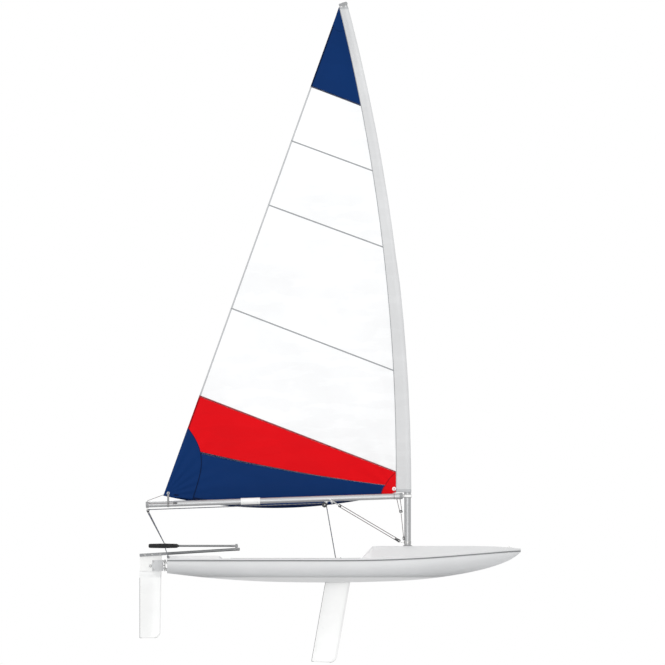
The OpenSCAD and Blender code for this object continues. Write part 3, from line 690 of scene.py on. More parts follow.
def makePads():
    sides = bmesh.new()
    decks = ((well["aft"] + 0.01, -0.62, hull["padGap"]), (-0.60, 0.13, hull["padGap"]))
    for side in (-1, 1):
        for xFrom, xTo, gap in decks:

            def inner(x, gap=gap):
                return well["half"] + gap

            def outer(x, gap=gap):
                return beamAt(x) - gap * 1.1

            addSidePad(sides, side, xFrom, xTo, inner, outer)
    piece("sideDeckGrip", sides, "hull", "deckGrip", outward=False, crease=12)
    ends = bmesh.new()
    for side in (-1, 1):
        spans = (
            (0.30, 0.545, lambda x: 0.05, lambda x: 0.17),
            (0.70, 1.30, lambda x: 0.03, lambda x: 0.17 - 0.10 * (x - 0.70) / 0.60),
            (transomX + 0.07, well["aft"] - 0.15, lambda x: 0.05, lambda x: 0.20),
        )
        for span in spans:
            addSidePad(ends, side, *span)
    piece("endDeckGrip", ends, "hull", "deckGrip", outward=False, crease=12)
    floor = bmesh.new()
    for side in (-1, 1):
        span = (well["aft"] + 0.05, well["front"] - 0.03, lambda x: 0.065, lambda x: 0.205)
        addSidePad(floor, side, *span)
    piece("cockpitFloorGrip", floor, "hull", "deckGrip", outward=False, crease=12)


def roundedLoop(xFrom, xTo, halfWidth, radius, steps=8):
    path = []
    for cx, cy, start in (
        (xTo - radius, halfWidth - radius, 0), (xFrom + radius, halfWidth - radius, 90),
        (xFrom + radius, -halfWidth + radius, 180), (xTo - radius, -halfWidth + radius, 270),
    ):
        for k in range(steps + 1):
            turn = math.radians(start + 90 * k / steps)
            path.append((cx + radius * math.cos(turn), cy + radius * math.sin(turn)))
    return path


def denser(path, step):
    # puts more points along the straight runs
    out = []
    for a, b in zip(path, path[1:]):
        a, b = Vector(a), Vector(b)
        count = max(int((b - a).length / step), 1)
        out += [a.lerp(b, k / count) for k in range(count)]
    return [*out, Vector(path[-1])]


def makeRims():
    bm = bmesh.new()
    grow = 0.006
    loop = roundedLoop(well["aft"] - grow, well["front"] + grow, well["half"] + grow, well["corner"] + grow)
    loop = denser([(x, y, 0) for x, y in [*loop, loop[0]]], 0.03)
    path = [(p.x, p.y, deckHeight(p.x, p.y)) for p in loop]
    addTube(bm, path, hull["rimRadius"], 12)
    piece("cockpitRim", bm, "hull", "hull", crease=50)

    slot = bmesh.new()
    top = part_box("daggerboard_head")[0].z - 0.001
    axis = boxCentre("daggerboard_head").x - 0.004
    loop = roundedLoop(axis - 0.131, axis + 0.131, 0.0215, 0.012)
    path = denser([(x, y, top) for x, y in [*loop, loop[0]]], 0.05)
    addTube(slot, path, 0.0012, 8, flat=2.4, up=(0, 0, 1))
    piece("boardSlotRim", slot, "hull", "dark", crease=50)


makeHull()
makeRims()
makePads()
print("hull made")


# spars


def shineNodes():
    looks = {
        "mast_lower": "mastAlloy", "mast_upper": "mastAlloy", "boom": "alloy", "tiller": "tillerAlloy",
        "tiller_fork": "tillerAlloy", "rudder_stock": "stockAlloy", "extension_tube": "tillerAlloy",
        "transom_gudgeons": "steel", "bow_eye": "steel", "traveller_eyes": "steel",
        "toe_strap_anchors": "steel", "boom_end_lug": "steel", "boom_middle_lug": "steel",
        "kicker_boom_lug": "steel", "kicker_mast_lug": "steel", "rudder_pintle": "steel",
        "tiller_joint": "greyNylon", "extension_socket": "greyNylon",
    }
    for node, finish in looks.items():
        made = frame["nodes"][node]
        made.data.materials.clear()
        made.data.materials.append(finishes[finish])
        for face in made.data.polygons:
            face.use_smooth = True
        modifier(made, "WELD", merge_threshold=2e-5)
        modifier(made, "EDGE_SPLIT", split_angle=math.radians(32))


shineNodes()
print("fittings finished")

# sail

rig = {
    "bendRadius": 18.5,
    "bendFootAboveBoom": 0.028,
    "sleeveGap": 0.0028,
    "sleeveWall": 0.0012,
    "headBelowTop": 0.020,
}
sail = {
    "camber": 0.085,
    "twist": 0.09,
    "footRound": 0.134,
    "draftPlace": 0.42,
    "sleeveLow": 0.108,
    "sleeveHigh": 0.056,
    "clothThickness": 0.0009,
    "patchThickness": 0.0030,
    "tapeThickness": 0.0020,
    "tapeWidth": 0.013,
    "stitch": 0.006,
    "luffSeam": 0.0045,
}
boomLow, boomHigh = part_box("boom")
boomRadius = (boomHigh.y - boomLow.y) / 2
boomFront = Vector((boomHigh.x, 0, boomHigh.z - boomRadius))
boomBack = Vector((boomLow.x, 0, boomLow.z + boomRadius))
boomAlong = (boomBack - boomFront).normalized()
boomUp = Vector((0, 1, 0)).cross(boomAlong)
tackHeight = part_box("sail_sleeve")[0].z
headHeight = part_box("sail_sleeve")[1].z
bendFoot = boomFront.z + rig["bendFootAboveBoom"]
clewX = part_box("sail_foot_panel")[0].x
clewHeight = 0.785
# height at the leech and at the luff as shares, and share of the foot's round
seams = [
    (0.000, 0.000, 1.00), (0.098, 0.012, 0.25), (0.204, 0.041, 0.0), (0.384, 0.251, 0.0),
    (0.596, 0.506, 0.0), (0.727, 0.663, 0.0), (0.838, 0.797, 0.0), (1.000, 1.000, 0.0),
]


def boomPoint(back, aside=0.0, up=0.0):
    return boomFront + boomAlong * back + Vector((0, aside, 0)) + boomUp * up


def aroundBoom(angle):
    # the way out of the boom, in degrees from port round to the top
    turn = math.radians(angle)
    return Vector((0, math.cos(turn), 0)) + boomUp * math.sin(turn)


def mastAxis(z):
    rise = max(z - bendFoot, 0.0)
    radius = rig["bendRadius"]
    return mastX - radius + math.sqrt(radius * radius - rise * rise)


def sleeveWidth(z):
    return along(sail["sleeveLow"], sail["sleeveHigh"], (z - tackHeight) / (headHeight - tackHeight))


def luffX(z):
    return mastAxis(z) - sleeveWidth(z)


headX = luffX(headHeight) - 0.004


def seamAt(t):
    i = min(int(t), len(seams) - 2)
    return [along(a, b, t - i) for a, b in zip(seams[i], seams[i + 1])]


def ripple(u, t, x, z, chord):
    clew = Vector((x - clewX, z - clewHeight))
    tack = Vector((luffX(tackHeight) - x, z - tackHeight))
    puckers = 0.0035 * math.sin(
        z * 26 + 2.2 * math.sin(z * 3.1)
    ) * math.exp(-u * chord / 0.11) * clip(u * chord / 0.02)
    fan = 0.0
    for corner, lines, depth in ((clew, 26, 0.005), (tack, 16, 0.0035)):
        reach = corner.length
        ray = math.sin(lines * math.atan2(corner.y, corner.x + 1e-6))
        fan += depth * ray * math.exp(-reach / 0.5) * clip((reach - 0.05) / 0.2)
    billow = noise.noise(Vector((x * 1.1, 3.7, z * 0.9))) * 0.010 * 4 * u * (1 - u)
    return (puckers + fan + billow) * clip((1 - u) / 0.02)


def sailPoint(u, t):
    leech, luff, hang = seamAt(t)
    luffZ = along(tackHeight, headHeight, luff)
    leechZ = along(clewHeight, headHeight, leech)
    leechX = along(clewX, headX, leech)
    front = luffX(luffZ) - 0.0003
    chord = front - leechX
    x = front - chord * u
    z = along(luffZ, leechZ, u) - sail["footRound"] * hang * 4 * u * (1 - u)
    place = sail["draftPlace"]
    curve = 1 - ((u - place) / (place if u < place else 1 - place)) ** 2
    y = sail["camber"] * chord * curve + sail["twist"] * u * u * math.sin(math.pi * leech)
    return Vector((x, y + ripple(u, t, x, z, chord), z))


def clothGrid(columns, rows, where):
    # a grid laid where the function says, with a UV map in metres
    bm = bmesh.new()
    uv = bm.loops.layers.uv.new("cloth")
    bmesh.ops.create_grid(bm, x_segments=columns, y_segments=rows, size=1.0)
    for v in bm.verts:
        v.co = where((v.co.x + 1) / 2, (v.co.y + 1) / 2)
    for face in bm.faces:
        for corner in face.loops:
            corner[uv].uv = (corner.vert.co.x + corner.vert.co.y * 0.3, corner.vert.co.z)
    return bm


def flatArea(bm):
    return sum(f.calc_area() for f in bm.faces)


def sailSheet(name, where, columns, rows, finish, thickness, stands=()):
    bm = clothGrid(columns, rows, where)
    area = flatArea(bm)
    made = piece(name, bm, "rig", finish, stands, crease=60)
    modifier(made, "SOLIDIFY", thickness=thickness, offset=0.0)
    return made


def makeSail():
    panels = (
        ("sailFootPanel", 0, 1, 150, 26, "sailNavy", "sail_navy", "sail_foot_panel", (2.30, 0.62)),
        ("sailStripe", 1, 2, 140, 26, "sailRed", "sail_red", "sail_stripe", (2.20, 0.55)),
        ("sailBody", 2, 6, 110, 160, "sailWhite", "sail_white", "sail_body", (2.10, 3.40)),
        ("sailHeadPanel", 6, 7, 30, 36, "sailNavy", "sail_navy", "sail_head_panel", (0.50, 0.95)),
    )
    for name, low, high, columns, rows, finish, slot, node, flat in panels:
        def where(u, v, low=low, high=high):
            return sailPoint(u - 0.12 * math.sin(math.tau * u), along(low, high, v))
        bm = clothGrid(columns, rows, where)
        area = flatArea(bm)
        made = piece(name, bm, "rig", finish, [node], crease=60)
        modifier(made, "SOLIDIFY", thickness=sail["clothThickness"], offset=0.0)
        print(name, "area", round(area, 3))


def across(t, offset):
    # moves a seam coordinate by a distance in metres, measured up the leech
    step = 0.01
    size = (sailPoint(0.5, min(t + step, 7)) - sailPoint(0.5, max(t - step, 0))).length
    return clip(t + offset * 2 * step / size, 0, 7)


def makeSeams():
    width = sail["tapeWidth"]
    for t, finish, slot in (
        (1, "navyTape", "sail_navy"), (2, "redTape", "sail_red"), (3, "tape", "sail_white"),
        (4, "tape", "sail_white"),
        (5, "tape", "sail_white"), (6, "navyTape", "sail_navy"),
    ):
        def where(u, v, t=t):
            return sailPoint(u, across(t, (v - 0.5) * width))
        sailSheet(f"seam{t}", where, 120, 2, finish, sail["tapeThickness"])
    tapes = (
        ("leechTapeFoot", 0, 1, "navyTape", "sail_navy"), ("leechTapeStripe", 1, 2, "redTape", "sail_red"),
        ("leechTapeBody", 2, 6, "leechTape", "sail_white"), ("leechTapeHead", 6, 7, "navyTape", "sail_navy"),
    )
    for name, low, high, finish, slot in tapes:
        def where(u, v, low=low, high=high):
            t = along(low, high, v)
            leech = seamAt(t)[0]
            chord = max(luffX(along(tackHeight, headHeight, seamAt(t)[1])) - along(clewX, headX, leech), 0.05)
            return sailPoint(1 - (1 - u) * 0.014 / chord, t)
        sailSheet(name, where, 2, 60, finish, sail["tapeThickness"])

    def foot(u, v):
        return sailPoint(u, across(0, v * 0.016))
    sailSheet("footTape", foot, 110, 2, "navyTape", sail["tapeThickness"])


def makeLuffSeam():
    def edge(u, v):
        t = 7 * v
        chord = (sailPoint(0, t) - sailPoint(1, t)).length
        return sailPoint(clip(u * sail["luffSeam"] / chord), t)

    sailSheet("luffSeam", edge, 2, 160, "tape", sail["patchThickness"] + 0.001)


def tackReach(t):
    return 0.065 * (1 - (t / 2.0) ** 2.2)


def clewReach(t):
    return 0.877 + 0.123 * (t / 1.386) ** 4.2


def makePatches():
    def clew(u, v):
        t = 1.386 * v
        return sailPoint(along(clewReach(t), 1.0, u), t)

    def tack(u, v):
        t = 1.95 * v
        return sailPoint(tackReach(t) * u, t)

    def head(u, v):
        t = 7 - 0.22 * v * (1 + 0.25 * math.sin(math.pi * u))
        return sailPoint(u, t)

    sailSheet("clewPatch", clew, 60, 80, "sailNavy", sail["patchThickness"])
    sailSheet("tackPatch", tack, 40, 70, "sailRed", sail["patchThickness"])
    sailSheet("headPatch", head, 16, 14, "sailNavy", sail["patchThickness"])

    def clewEdge(u, v):
        t = 1.386 * v
        return sailPoint(clip(clewReach(t) + (u - 0.5) * 0.0042), t)

    def tackEdge(u, v):
        t = 1.95 * v
        return sailPoint(clip(tackReach(t) + (u - 0.5) * 0.0034), t)

    sailSheet("clewPatchSeam", clewEdge, 2, 44, "navyTape", sail["patchThickness"] + 0.0006)
    sailSheet("tackPatchSeam", tackEdge, 2, 34, "redTape", sail["patchThickness"] + 0.0006)


def makeStitches():
    bm = bmesh.new()
    pitch = sail["stitch"]
    lines = [(t, offset) for t in range(1, 7) for offset in (-0.0035, 0.0035)]
    for t, offset in lines:
        length = (sailPoint(0, t) - sailPoint(1, t)).length
        count = int(length / pitch)
        for side in (-1, 1):
            lift = side * (sail["tapeThickness"] / 2 + 0.0002)
            last = None
            for k in range(count + 1):
                sway = 0.0014 if k % 2 else -0.0014
                p = sailPoint(clip(k / count), across(t, offset + sway))
                p.y += lift
                pair = [bm.verts.new(p + Vector((0, 0, s * 0.0004))) for s in (-1, 1)]
                if last:
                    bm.faces.new([last[0], pair[0], pair[1], last[1]])
                last = pair
    made = piece("sailStitching", bm, "rig", "thread", outward=False)
    modifier(made, "SOLIDIFY", thickness=0.0005, offset=0.0)


def makeCringles():
    bm = bmesh.new()
    for u, t, radius in ((0.984, 0.07, 0.014),):
        p = sailPoint(u, t)
        du = (sailPoint(clip(u + 0.01), t) - sailPoint(clip(u - 0.01), t)).normalized()
        dt = (sailPoint(u, clip(t + 0.02, 0, 7)) - sailPoint(u, clip(t - 0.02, 0, 7))).normalized()
        normal = du.cross(dt).normalized()
        wall = 0.003
        ring = [
            (radius * 0.55, -wall), (radius * 0.7, -wall * 1.25), (radius, -wall * 0.9),
            (radius, -wall * 0.5),
            (radius * 0.97, 0), (radius, wall * 0.5), (radius, wall * 0.9), (radius * 0.7, wall * 1.25),
            (radius * 0.55, wall), (radius * 0.55, -wall),
        ]
        addLathe(bm, ring, facing(normal, p), 28)
    piece("sailCringles", bm, "rig", "steel")


lowRadius = boxSize("mast_lower").y / 2
highRadius = boxSize("mast_upper").y / 2
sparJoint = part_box("mast_upper")[0].z + 0.07


def sleevePoint(share, z, grow):
    radius = along(lowRadius, highRadius, clip((z - sparJoint) / 0.3)) + grow
    tail = sleeveWidth(z) - 0.001
    straight = math.sqrt(tail * tail - radius * radius)
    opening = math.acos(radius / tail)
    bend = (math.tau - 2 * opening) * radius
    total = 2 * straight + bend
    run = share * total
    if run < straight:
        a = math.pi + opening
        touch = Vector((radius * math.cos(a), radius * math.sin(a)))
        p = Vector((-tail, 0)).lerp(touch, run / straight)
    elif run > total - straight:
        a = math.pi - opening
        touch = Vector((radius * math.cos(a), radius * math.sin(a)))
        p = touch.lerp(Vector((-tail, 0)), (run - total + straight) / straight)
    else:
        a = math.pi + opening + (run - straight) / radius
        p = Vector((radius * math.cos(a), radius * math.sin(a)))
    fold = noise.noise(Vector((p.x * 22, p.y * 22, z * 7))) * 0.0012
    fold += 0.0009 * math.sin(z * 26 + 2.2 * math.sin(z * 3.1)) * clip(-p.x / tail)
    outward = p.normalized()
    p = p + outward * fold * clip(share * 12) * clip((1 - share) * 12)
    return Vector((mastAxis(z) + p.x, p.y, z))


def makeSleeve():
    gap = rig["sleeveGap"]

    def where(u, v):
        return sleevePoint(u, along(tackHeight, headHeight, v), gap)
    bm = clothGrid(44, 230, where)
    area = flatArea(bm)
    made = piece("sailSleeve", bm, "rig", "sleeve", ["sail_sleeve"], crease=70, merge=1e-5)
    modifier(made, "SOLIDIFY", thickness=rig["sleeveWall"], offset=0.0)
    print("sleeve area", round(area, 3))
    for name, low, high in (("sleeveHem", 0.0, 0.0065), ("sleeveHeadBand", 0.996, 1.0)):
        def band(u, v, low=low, high=high):
            return sleevePoint(u, along(tackHeight, headHeight, along(low, high, v)), gap + 0.0007)
        bm = clothGrid(44, 3, band)
        made = piece(name, bm, "rig", "leechTape", crease=70, merge=1e-5)
        modifier(made, "SOLIDIFY", thickness=0.0014, offset=0.0)


makeSail()
makeSeams()
makeLuffSeam()
makePatches()
makeStitches()
makeCringles()
makeSleeve()
print("sail made")


# rope, blocks and fittings


class Kit:
    # one fitting made of several finishes, a piece for each
    def __init__(self, name, body):
        self.name = name
        self.body = body
        self.parts = {}

    def of(self, finish):
        return self.parts.setdefault(finish, bmesh.new())

    def done(self, stands=None, crease=35):
        made = {}
        for finish, bm in self.parts.items():
            nodes = (stands or {}).get(finish, ())
            name = self.name + finish[0].upper() + finish[1:]
            made[finish] = piece(name, bm, self.body, finish, nodes, crease)
        return made


def discProfile(radius, low, high, edge=0.001, bore=0.0):
    profile = [
        (bore, low), (radius - edge, low), (radius, low + edge), (radius, high - edge), (radius - edge, high),
    ]
    return profile + ([(bore, high), (bore, low)] if bore else [(bore, high)])


def addBolt(kit, centre, axis, span, radius=0.003, head=0.0055):
    # a pin with a domed head at one end and a nut at the other
    half = span / 2
    place = facing(axis, centre)
    profile = [
        (0, -half - 0.005), (head * 0.9, -half - 0.005), (head, -half - 0.0042), (head, -half),
        (radius, -half),
        (radius, half), (head * 1.1, half), (head * 1.05, half + 0.0016), (head * 0.6, half + 0.0036),
        (0, half + 0.0042),
    ]
    addLathe(kit.of("steel"), profile, place, 12)


def addBlock(kit, centre, pin, toEye, radius=0.018, width=0.010, eye=None, pinned=False):
    # cheeks, sheave, pin and the strap that holds the block's eye
    centre, pin, toEye = Vector(centre), Vector(pin).normalized(), Vector(toEye).normalized()
    for side in (-1, 1):
        place = facing(pin * side, centre + pin * side * width * 0.5)
        profile = [
            (0.0, 0.0), (radius * 0.95, 0.0), (radius, 0.0012), (radius * 0.92, 0.0026),
            (radius * 0.55, 0.0036),
            (radius * 0.3, 0.0036), (radius * 0.26, 0.0026), (0, 0.0026),
        ]
        addLathe(kit.of("dark"), profile, place, 28)
        across = pin.cross(toEye)
        turn = Matrix((across, toEye, pin)).transposed().to_4x4()
        addBox(
            kit.of("steel"), centre + pin * side * (width * 0.5 + 0.003) + toEye * radius * 0.55,
            (radius * 0.42, radius * 1.35, 0.0014), 0.0005, turn,
        )
    groove = width * 0.42
    wheel = radius * (0.62 if pinned else 0.86)
    sheave = [
        (0.0032, -groove), (wheel, -groove), (wheel * 0.98, -groove * 0.7), (wheel * 0.77, -groove * 0.25),
        (wheel * 0.77, groove * 0.25), (wheel * 0.98, groove * 0.7), (wheel, groove), (0.0032, groove),
        (0.0032, -groove),
    ]
    addLathe(kit.of("white"), sheave, facing(pin, centre), 28)
    addBolt(kit, centre, pin, width + 0.008, 0.0026, 0.0046)
    head = Vector(eye) if pinned else centre + toEye * radius * 1.18
    addBolt(kit, head, pin, width + 0.008, 0.002, 0.0034)
    if eye and not pinned:
        addShackle(kit, head, eye, pin)


def addShackle(kit, foot, eye, pin):
    # a bent rod from the block's head through the eye
    foot, eye, pin = Vector(foot), Vector(eye), Vector(pin).normalized()
    way = (eye - foot).normalized()
    reach = (eye - foot).length + 0.0035
    path = []
    for k in range(13):
        turn = math.pi * k / 12
        path.append(foot + way * (reach - 0.006 + 0.006 * math.sin(turn)) + pin * 0.006 * math.cos(turn))
    path = [foot + pin * 0.006, *path, foot - pin * 0.006]
    addTube(kit.of("steel"), path, 0.0019, 8)
    addBolt(kit, foot, pin, 0.013, 0.0022, 0.0036)


def addKnot(bm, centre, axis, radius):
    # a figure-eight stopper: a rope wound over itself
    centre, axis = Vector(centre), Vector(axis).normalized()
    place = facing(axis, centre)
    path = []
    for k in range(49):
        turn = math.tau * k / 48
        path.append(place @ Vector((
            radius * 1.5 * math.cos(2 * turn) * (1 + 0.35 * math.cos(3 * turn)),
            radius * 1.5 * math.sin(2 * turn) * (1 + 0.35 * math.cos(3 * turn)),
            radius * 1.3 * math.sin(3 * turn),
        )))
    addTube(bm, path, radius, 10)


def ropePiece(name, paths, radius, body=None, between=None, finish="sheetRope", sides=10):
    bm = bmesh.new()
    for path in paths:
        addTube(bm, path, radius, sides)
    made = piece(name, bm, body, finish, crease=70)
    if between:
        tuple(between[2])
        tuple(between[3])
        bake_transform(made)
    return made


def straight(a, b, count=24):
    a, b = Vector(a), Vector(b)
    return [a.lerp(b, k / count) for k in range(count + 1)]


def wrap(centre, pin, radius, fromWay, toWay, count=10):
    # the rope round a sheave, from one direction to another
    centre, pin = Vector(centre), Vector(pin).normalized()
    start = fromWay.normalized()
    side = pin.cross(start).normalized()
    total = math.atan2(toWay.normalized().dot(side), toWay.normalized().dot(start))
    return [
        centre + (start * math.cos(total * k / count) + side * math.sin(total * k / count)) * radius
        for k in range(count + 1)
    ]


def eyeCentre(node, rim=0.009):
    low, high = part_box(node)
    return Vector(((low.x + high.x) / 2, (low.y + high.y) / 2, low.z + rim))


sheetEnd = {
    "rope": 0.0045, "control": 0.0034, "blockHeight": 0.315, "blockRadius": 0.019, "bridleRadius": 0.0042,
}
pinY = Vector((0, 1, 0))


def makeMainsheet():
    rope = sheetEnd["rope"]
    lower = Vector((hingeX, 0, sheetEnd["blockHeight"]))
    endEye = eyeCentre("boom_end_lug")
    down = (lower - endEye).normalized()
    upper = endEye + down * 0.0185

    # traveller: a bridle from eye to eye, with its block riding on the middle
    low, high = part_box("traveller_eyes")
    eyeX, eyeY, eyeZ = (low.x + high.x) / 2, high.y - 0.016, high.z - 0.009
    apex = Vector((hingeX, 0, lower.z - 0.026))
    bridle = []
    for side in (-1, 1):
        eye = Vector((eyeX, side * eyeY, eyeZ))
        inner = eye + (apex - eye).normalized() * 0.012
        run = straight(inner, apex + Vector((0, side * 0.006, 0)), 16)
        bridle.append(run)
        loop = []
        for k in range(15):
            turn = math.tau * k / 14
            loop.append(
                eye + Vector(
                    (0.007 * math.sin(turn), 0, 0)
                ) + (apex - eye).normalized() * 0.011 * math.cos(turn)
            )
        bridle.append(loop)
    bm = bmesh.new()
    for path in bridle:
        addTube(bm, path, sheetEnd["bridleRadius"], 10)
    for side in (-1, 1):
        eye = Vector((eyeX, side * eyeY, eyeZ))
        addKnot(bm, eye + (apex - eye).normalized() * 0.026, apex - eye, 0.0042)
    top = [
        apex + Vector((0, 0.007 * math.cos(math.pi * k / 8), 0.006 * math.sin(math.pi * k / 8)))
        for k in range(9)
    ]
    addTube(bm, top, sheetEnd["bridleRadius"], 10)
    piece("travellerBridle", bm, "hull", "sheetRope", crease=70)

    blocks = Kit("travellerBlock", "hull")
    addBlock(
        blocks, lower, (1, 0, 0), (0, 0, -1), sheetEnd["blockRadius"], 0.012, apex + Vector((0, 0, 0.002)),
    )
    blocks.done()
    upperKit = Kit("boomEndBlock", "rig")
    addBlock(upperKit, upper, pinY, endEye - upper, 0.0145, 0.0105, endEye, True)
    upperKit.done()

    sheave, small = 0.0125, 0.0105
    foot = [lower + Vector((0, side * sheave, 0)) for side in (-1, 1)]
    becket = upper + down * 0.016
    sideWay = pinY.cross(down).normalized()
    if sideWay.x > 0:
        sideWay = -sideWay
    leave = upper + sideWay * small
    falls = [straight(foot[0], leave, 40), straight(foot[1], becket, 40)]
    ropePiece("mainsheetFalls", falls, rope, between=("hull", "rig", lower + Vector((0, 0, 0.004)), becket))
    under = wrap(lower, (1, 0, 0), sheave, Vector((0, -1, 0)), Vector((0, 0.02, -1)), 8)
    under += wrap(lower, (1, 0, 0), sheave, Vector((0, 0.02, -1)), Vector((0, 1, 0)), 8)[1:]
    ropePiece("mainsheetTurn", [under], rope, "hull")

    # forward along the boom to the middle block, then down to the jammer
    midEye = eyeCentre("boom_middle_lug")
    jam = boxCentre("mainsheet_jammer")
    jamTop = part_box("mainsheet_jammer")[1].z
    fair = Vector((jam.x - 0.006, jam.y, jamTop + 0.004))
    fallWay = (fair - midEye).normalized()
    bisect = (fallWay + boomAlong).normalized()
    middle = midEye + bisect * 0.026
    wheel = 0.0165
    lead = (middle - upper)
    lead -= pinY * lead.y
    lead.normalize()
    topWay = Vector((0, 1, 0)).cross(lead).normalized()
    if topWay.z < 0:
        topWay = -topWay
    over = wrap(upper, pinY, small, sideWay, topWay, 8)
    frontWay = Vector((fallWay.z, 0, -fallWay.x)).normalized()
    if frontWay.x < 0:
        frontWay = -frontWay
    run = [*over, *straight(upper + topWay * small, middle + topWay * wheel, 30)[1:]]
    run += wrap(middle, pinY, wheel, topWay, frontWay, 8)[1:]
    ropePiece("mainsheetLead", [run], rope, "rig")
    leaveMiddle = middle + frontWay * wheel
    ropePiece(
        "mainsheetTail", [straight(fair, leaveMiddle, 40)], rope, between=("hull", "rig", fair, leaveMiddle),
    )
    middleKit = Kit("boomMiddleBlock", "rig")
    addBlock(middleKit, middle, pinY, midEye - middle, 0.026, 0.012, midEye, True)
    middleKit.done()
    end = [
        fair, fair + Vector((0.003, 0, -0.008)), fair + Vector((0.010, 0, -0.0135)),
        fair + Vector((0.022, 0, -0.0135)),
        fair + Vector((0.036, 0, -0.0135)), fair + Vector((0.044, 0, -0.014)),
    ]
    bm = bmesh.new()
    addTube(bm, smoothPath(end, 5), rope, 10)
    addKnot(bm, fair + Vector((0.050, 0, -0.0115)), (1, 0.2, 0), 0.0048)
    piece("mainsheetKnot", bm, "hull", "sheetRope", crease=70)
    return fair


def makeJammer():
    kit = Kit("jammer", "hull")
    low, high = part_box("mainsheet_jammer")
    centre = (low + high) / 2
    top = high.z - 0.018
    width = high.y - low.y
    tower = bmesh.new()
    bmesh.ops.create_cube(tower, size=1.0)
    bmesh.ops.scale(
        tower, vec=(high.x - low.x - 0.004, width - 0.004, top - 0.006 - low.z), verts=tower.verts,
    )
    bevelAll(tower, tower.verts, 0.006, 3)
    walls = [f for f in tower.faces if abs(f.normal.z) < 0.1 and f.calc_area() > 0.003]
    bmesh.ops.inset_individual(tower, faces=walls, thickness=0.005, depth=0.0)
    bmesh.ops.inset_individual(tower, faces=walls, thickness=0.0015, depth=-0.0015)
    moved(tower, tower.verts, Matrix.Translation((centre.x, centre.y, (low.z + top - 0.006) / 2)))
    join(kit.of("greyNylon"), tower)
    addBox(
        kit.of("greyNylon"), (centre.x, centre.y, low.z + 0.002),
        (high.x - low.x + 0.012, width - 0.001, 0.004), 0.0014,
    )
    feet = [
        (centre.x + sx * 0.0335, centre.y + sy * 0.012, low.z + 0.0034) for sx in (-1, 1) for sy in (-1, 1)
    ]
    addScrews(kit.of("steel"), feet, 0.0024)
    addBox(
        kit.of("dark"), (centre.x, centre.y, top - 0.004), (high.x - low.x + 0.004, width + 0.004, 0.006),
        0.0022,
    )
    for side in (-1, 1):
        place = Matrix.Translation((centre.x + 0.016, centre.y + side * 0.0125, top))
        cam = bmesh.new()
        bmesh.ops.create_circle(cam, cap_ends=True, radius=0.0085, segments=28)
        for v in cam.verts:
            # toothed on the side that bites
            angle = math.atan2(v.co.y, v.co.x)
            grow = 1 + 0.18 * math.cos(angle - 0.4) + 0.05 * (1 if round(angle * 28 / math.tau) % 2 else -1)
            v.co *= grow
            v.co.y *= 1.0 if side < 0 else -1.0
        top1 = bmesh.ops.extrude_face_region(cam, geom=cam.faces[:])["geom"]
        bmesh.ops.translate(
            cam, vec=(0, 0, 0.012), verts=[g for g in top1 if isinstance(g, bmesh.types.BMVert)],
        )
        moved(cam, cam.verts, place)
        join(kit.of("dark"), cam)
        addBolt(
            kit, (centre.x + 0.016, centre.y + side * 0.0125, top + 0.006), (0, 0, 1), 0.013, 0.0025, 0.0042,
        )
    arch = []
    for k in range(13):
        turn = math.pi * k / 12
        arch.append(
            (centre.x - 0.006, centre.y + 0.011 * math.cos(turn), top + 0.004 + 0.012 * math.sin(turn))
        )
    arch = [(arch[0][0], arch[0][1], top - 0.004), *arch, (arch[-1][0], arch[-1][1], top - 0.004)]
    addTube(kit.of("steel"), arch, 0.0022, 8)
    screws = [
        (centre.x + sx * 0.026, centre.y + sy * 0.018, top - 0.0008) for sx in (-1, 1) for sy in (-1, 1)
    ]
    addScrews(kit.of("steel"), screws, 0.0032)
    kit.done({"greyNylon": ["mainsheet_jammer"]})


def makeKicker():
    boomEye = eyeCentre("kicker_boom_lug")
    mastEye = Vector((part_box("kicker_mast_lug")[0].x + 0.009, 0, boxCentre("kicker_mast_lug").z))
    way = (mastEye - boomEye).normalized()
    side = pinY.cross(way).normalized()
    upper = Vector((boomEye.x + 0.073, 0, boomEye.z - 0.031))
    way = (mastEye - upper).normalized()
    side = pinY.cross(way).normalized()
    lower = mastEye - way * 0.032
    kit = Kit("kicker", "rig")
    addBlock(kit, upper, pinY, -way, 0.016, 0.011)
    addBlock(kit, lower, pinY, way, 0.016, 0.011, mastEye)
    # cam cleat on the lower block
    turn = Matrix((way, pinY, way.cross(pinY))).transposed().to_4x4()
    addBox(kit.of("dark"), lower + side * 0.004 - way * 0.028, (0.034, 0.016, 0.020), 0.004, turn)
    strap = bmesh.new()
    anchor = boomPoint((boomFront.x - boomEye.x) + 0.042, up=0.004)
    head = upper - way * 0.019
    for k in (-1, 1):
        path = [anchor + pinY * (boomRadius + 0.0018) * k]
        for share, out in ((0.22, boomRadius + 0.001), (0.5, 0.0235), (0.76, 0.0145), (1.0, 0.0088)):
            path.append(anchor.lerp(head, share) + pinY * out * k)
        addTube(strap, smoothPath(path, 4), 0.0012, 10, flat=5.0, up=tuple(side))
        addBolt(kit, anchor + pinY * (boomRadius + 0.0018) * k, pinY, 0.005, 0.003, 0.0062)
    piece("kickerStrap", strap, "rig", "steel", crease=60)
    kit.done()
    sheave = 0.0105
    falls = [straight(upper + side * s * sheave, lower + side * s * sheave, 24) for s in (-1, 1)]
    falls.append(wrap(upper, pinY, sheave, side, -way, 6) + wrap(upper, pinY, sheave, -way, -side, 6)[1:])
    falls.append(wrap(lower, pinY, sheave, side, way, 6) + wrap(lower, pinY, sheave, way, -side, 6)[1:])
    ropePiece("kickerRope", falls, sheetEnd["control"], "rig", finish="controlRope")


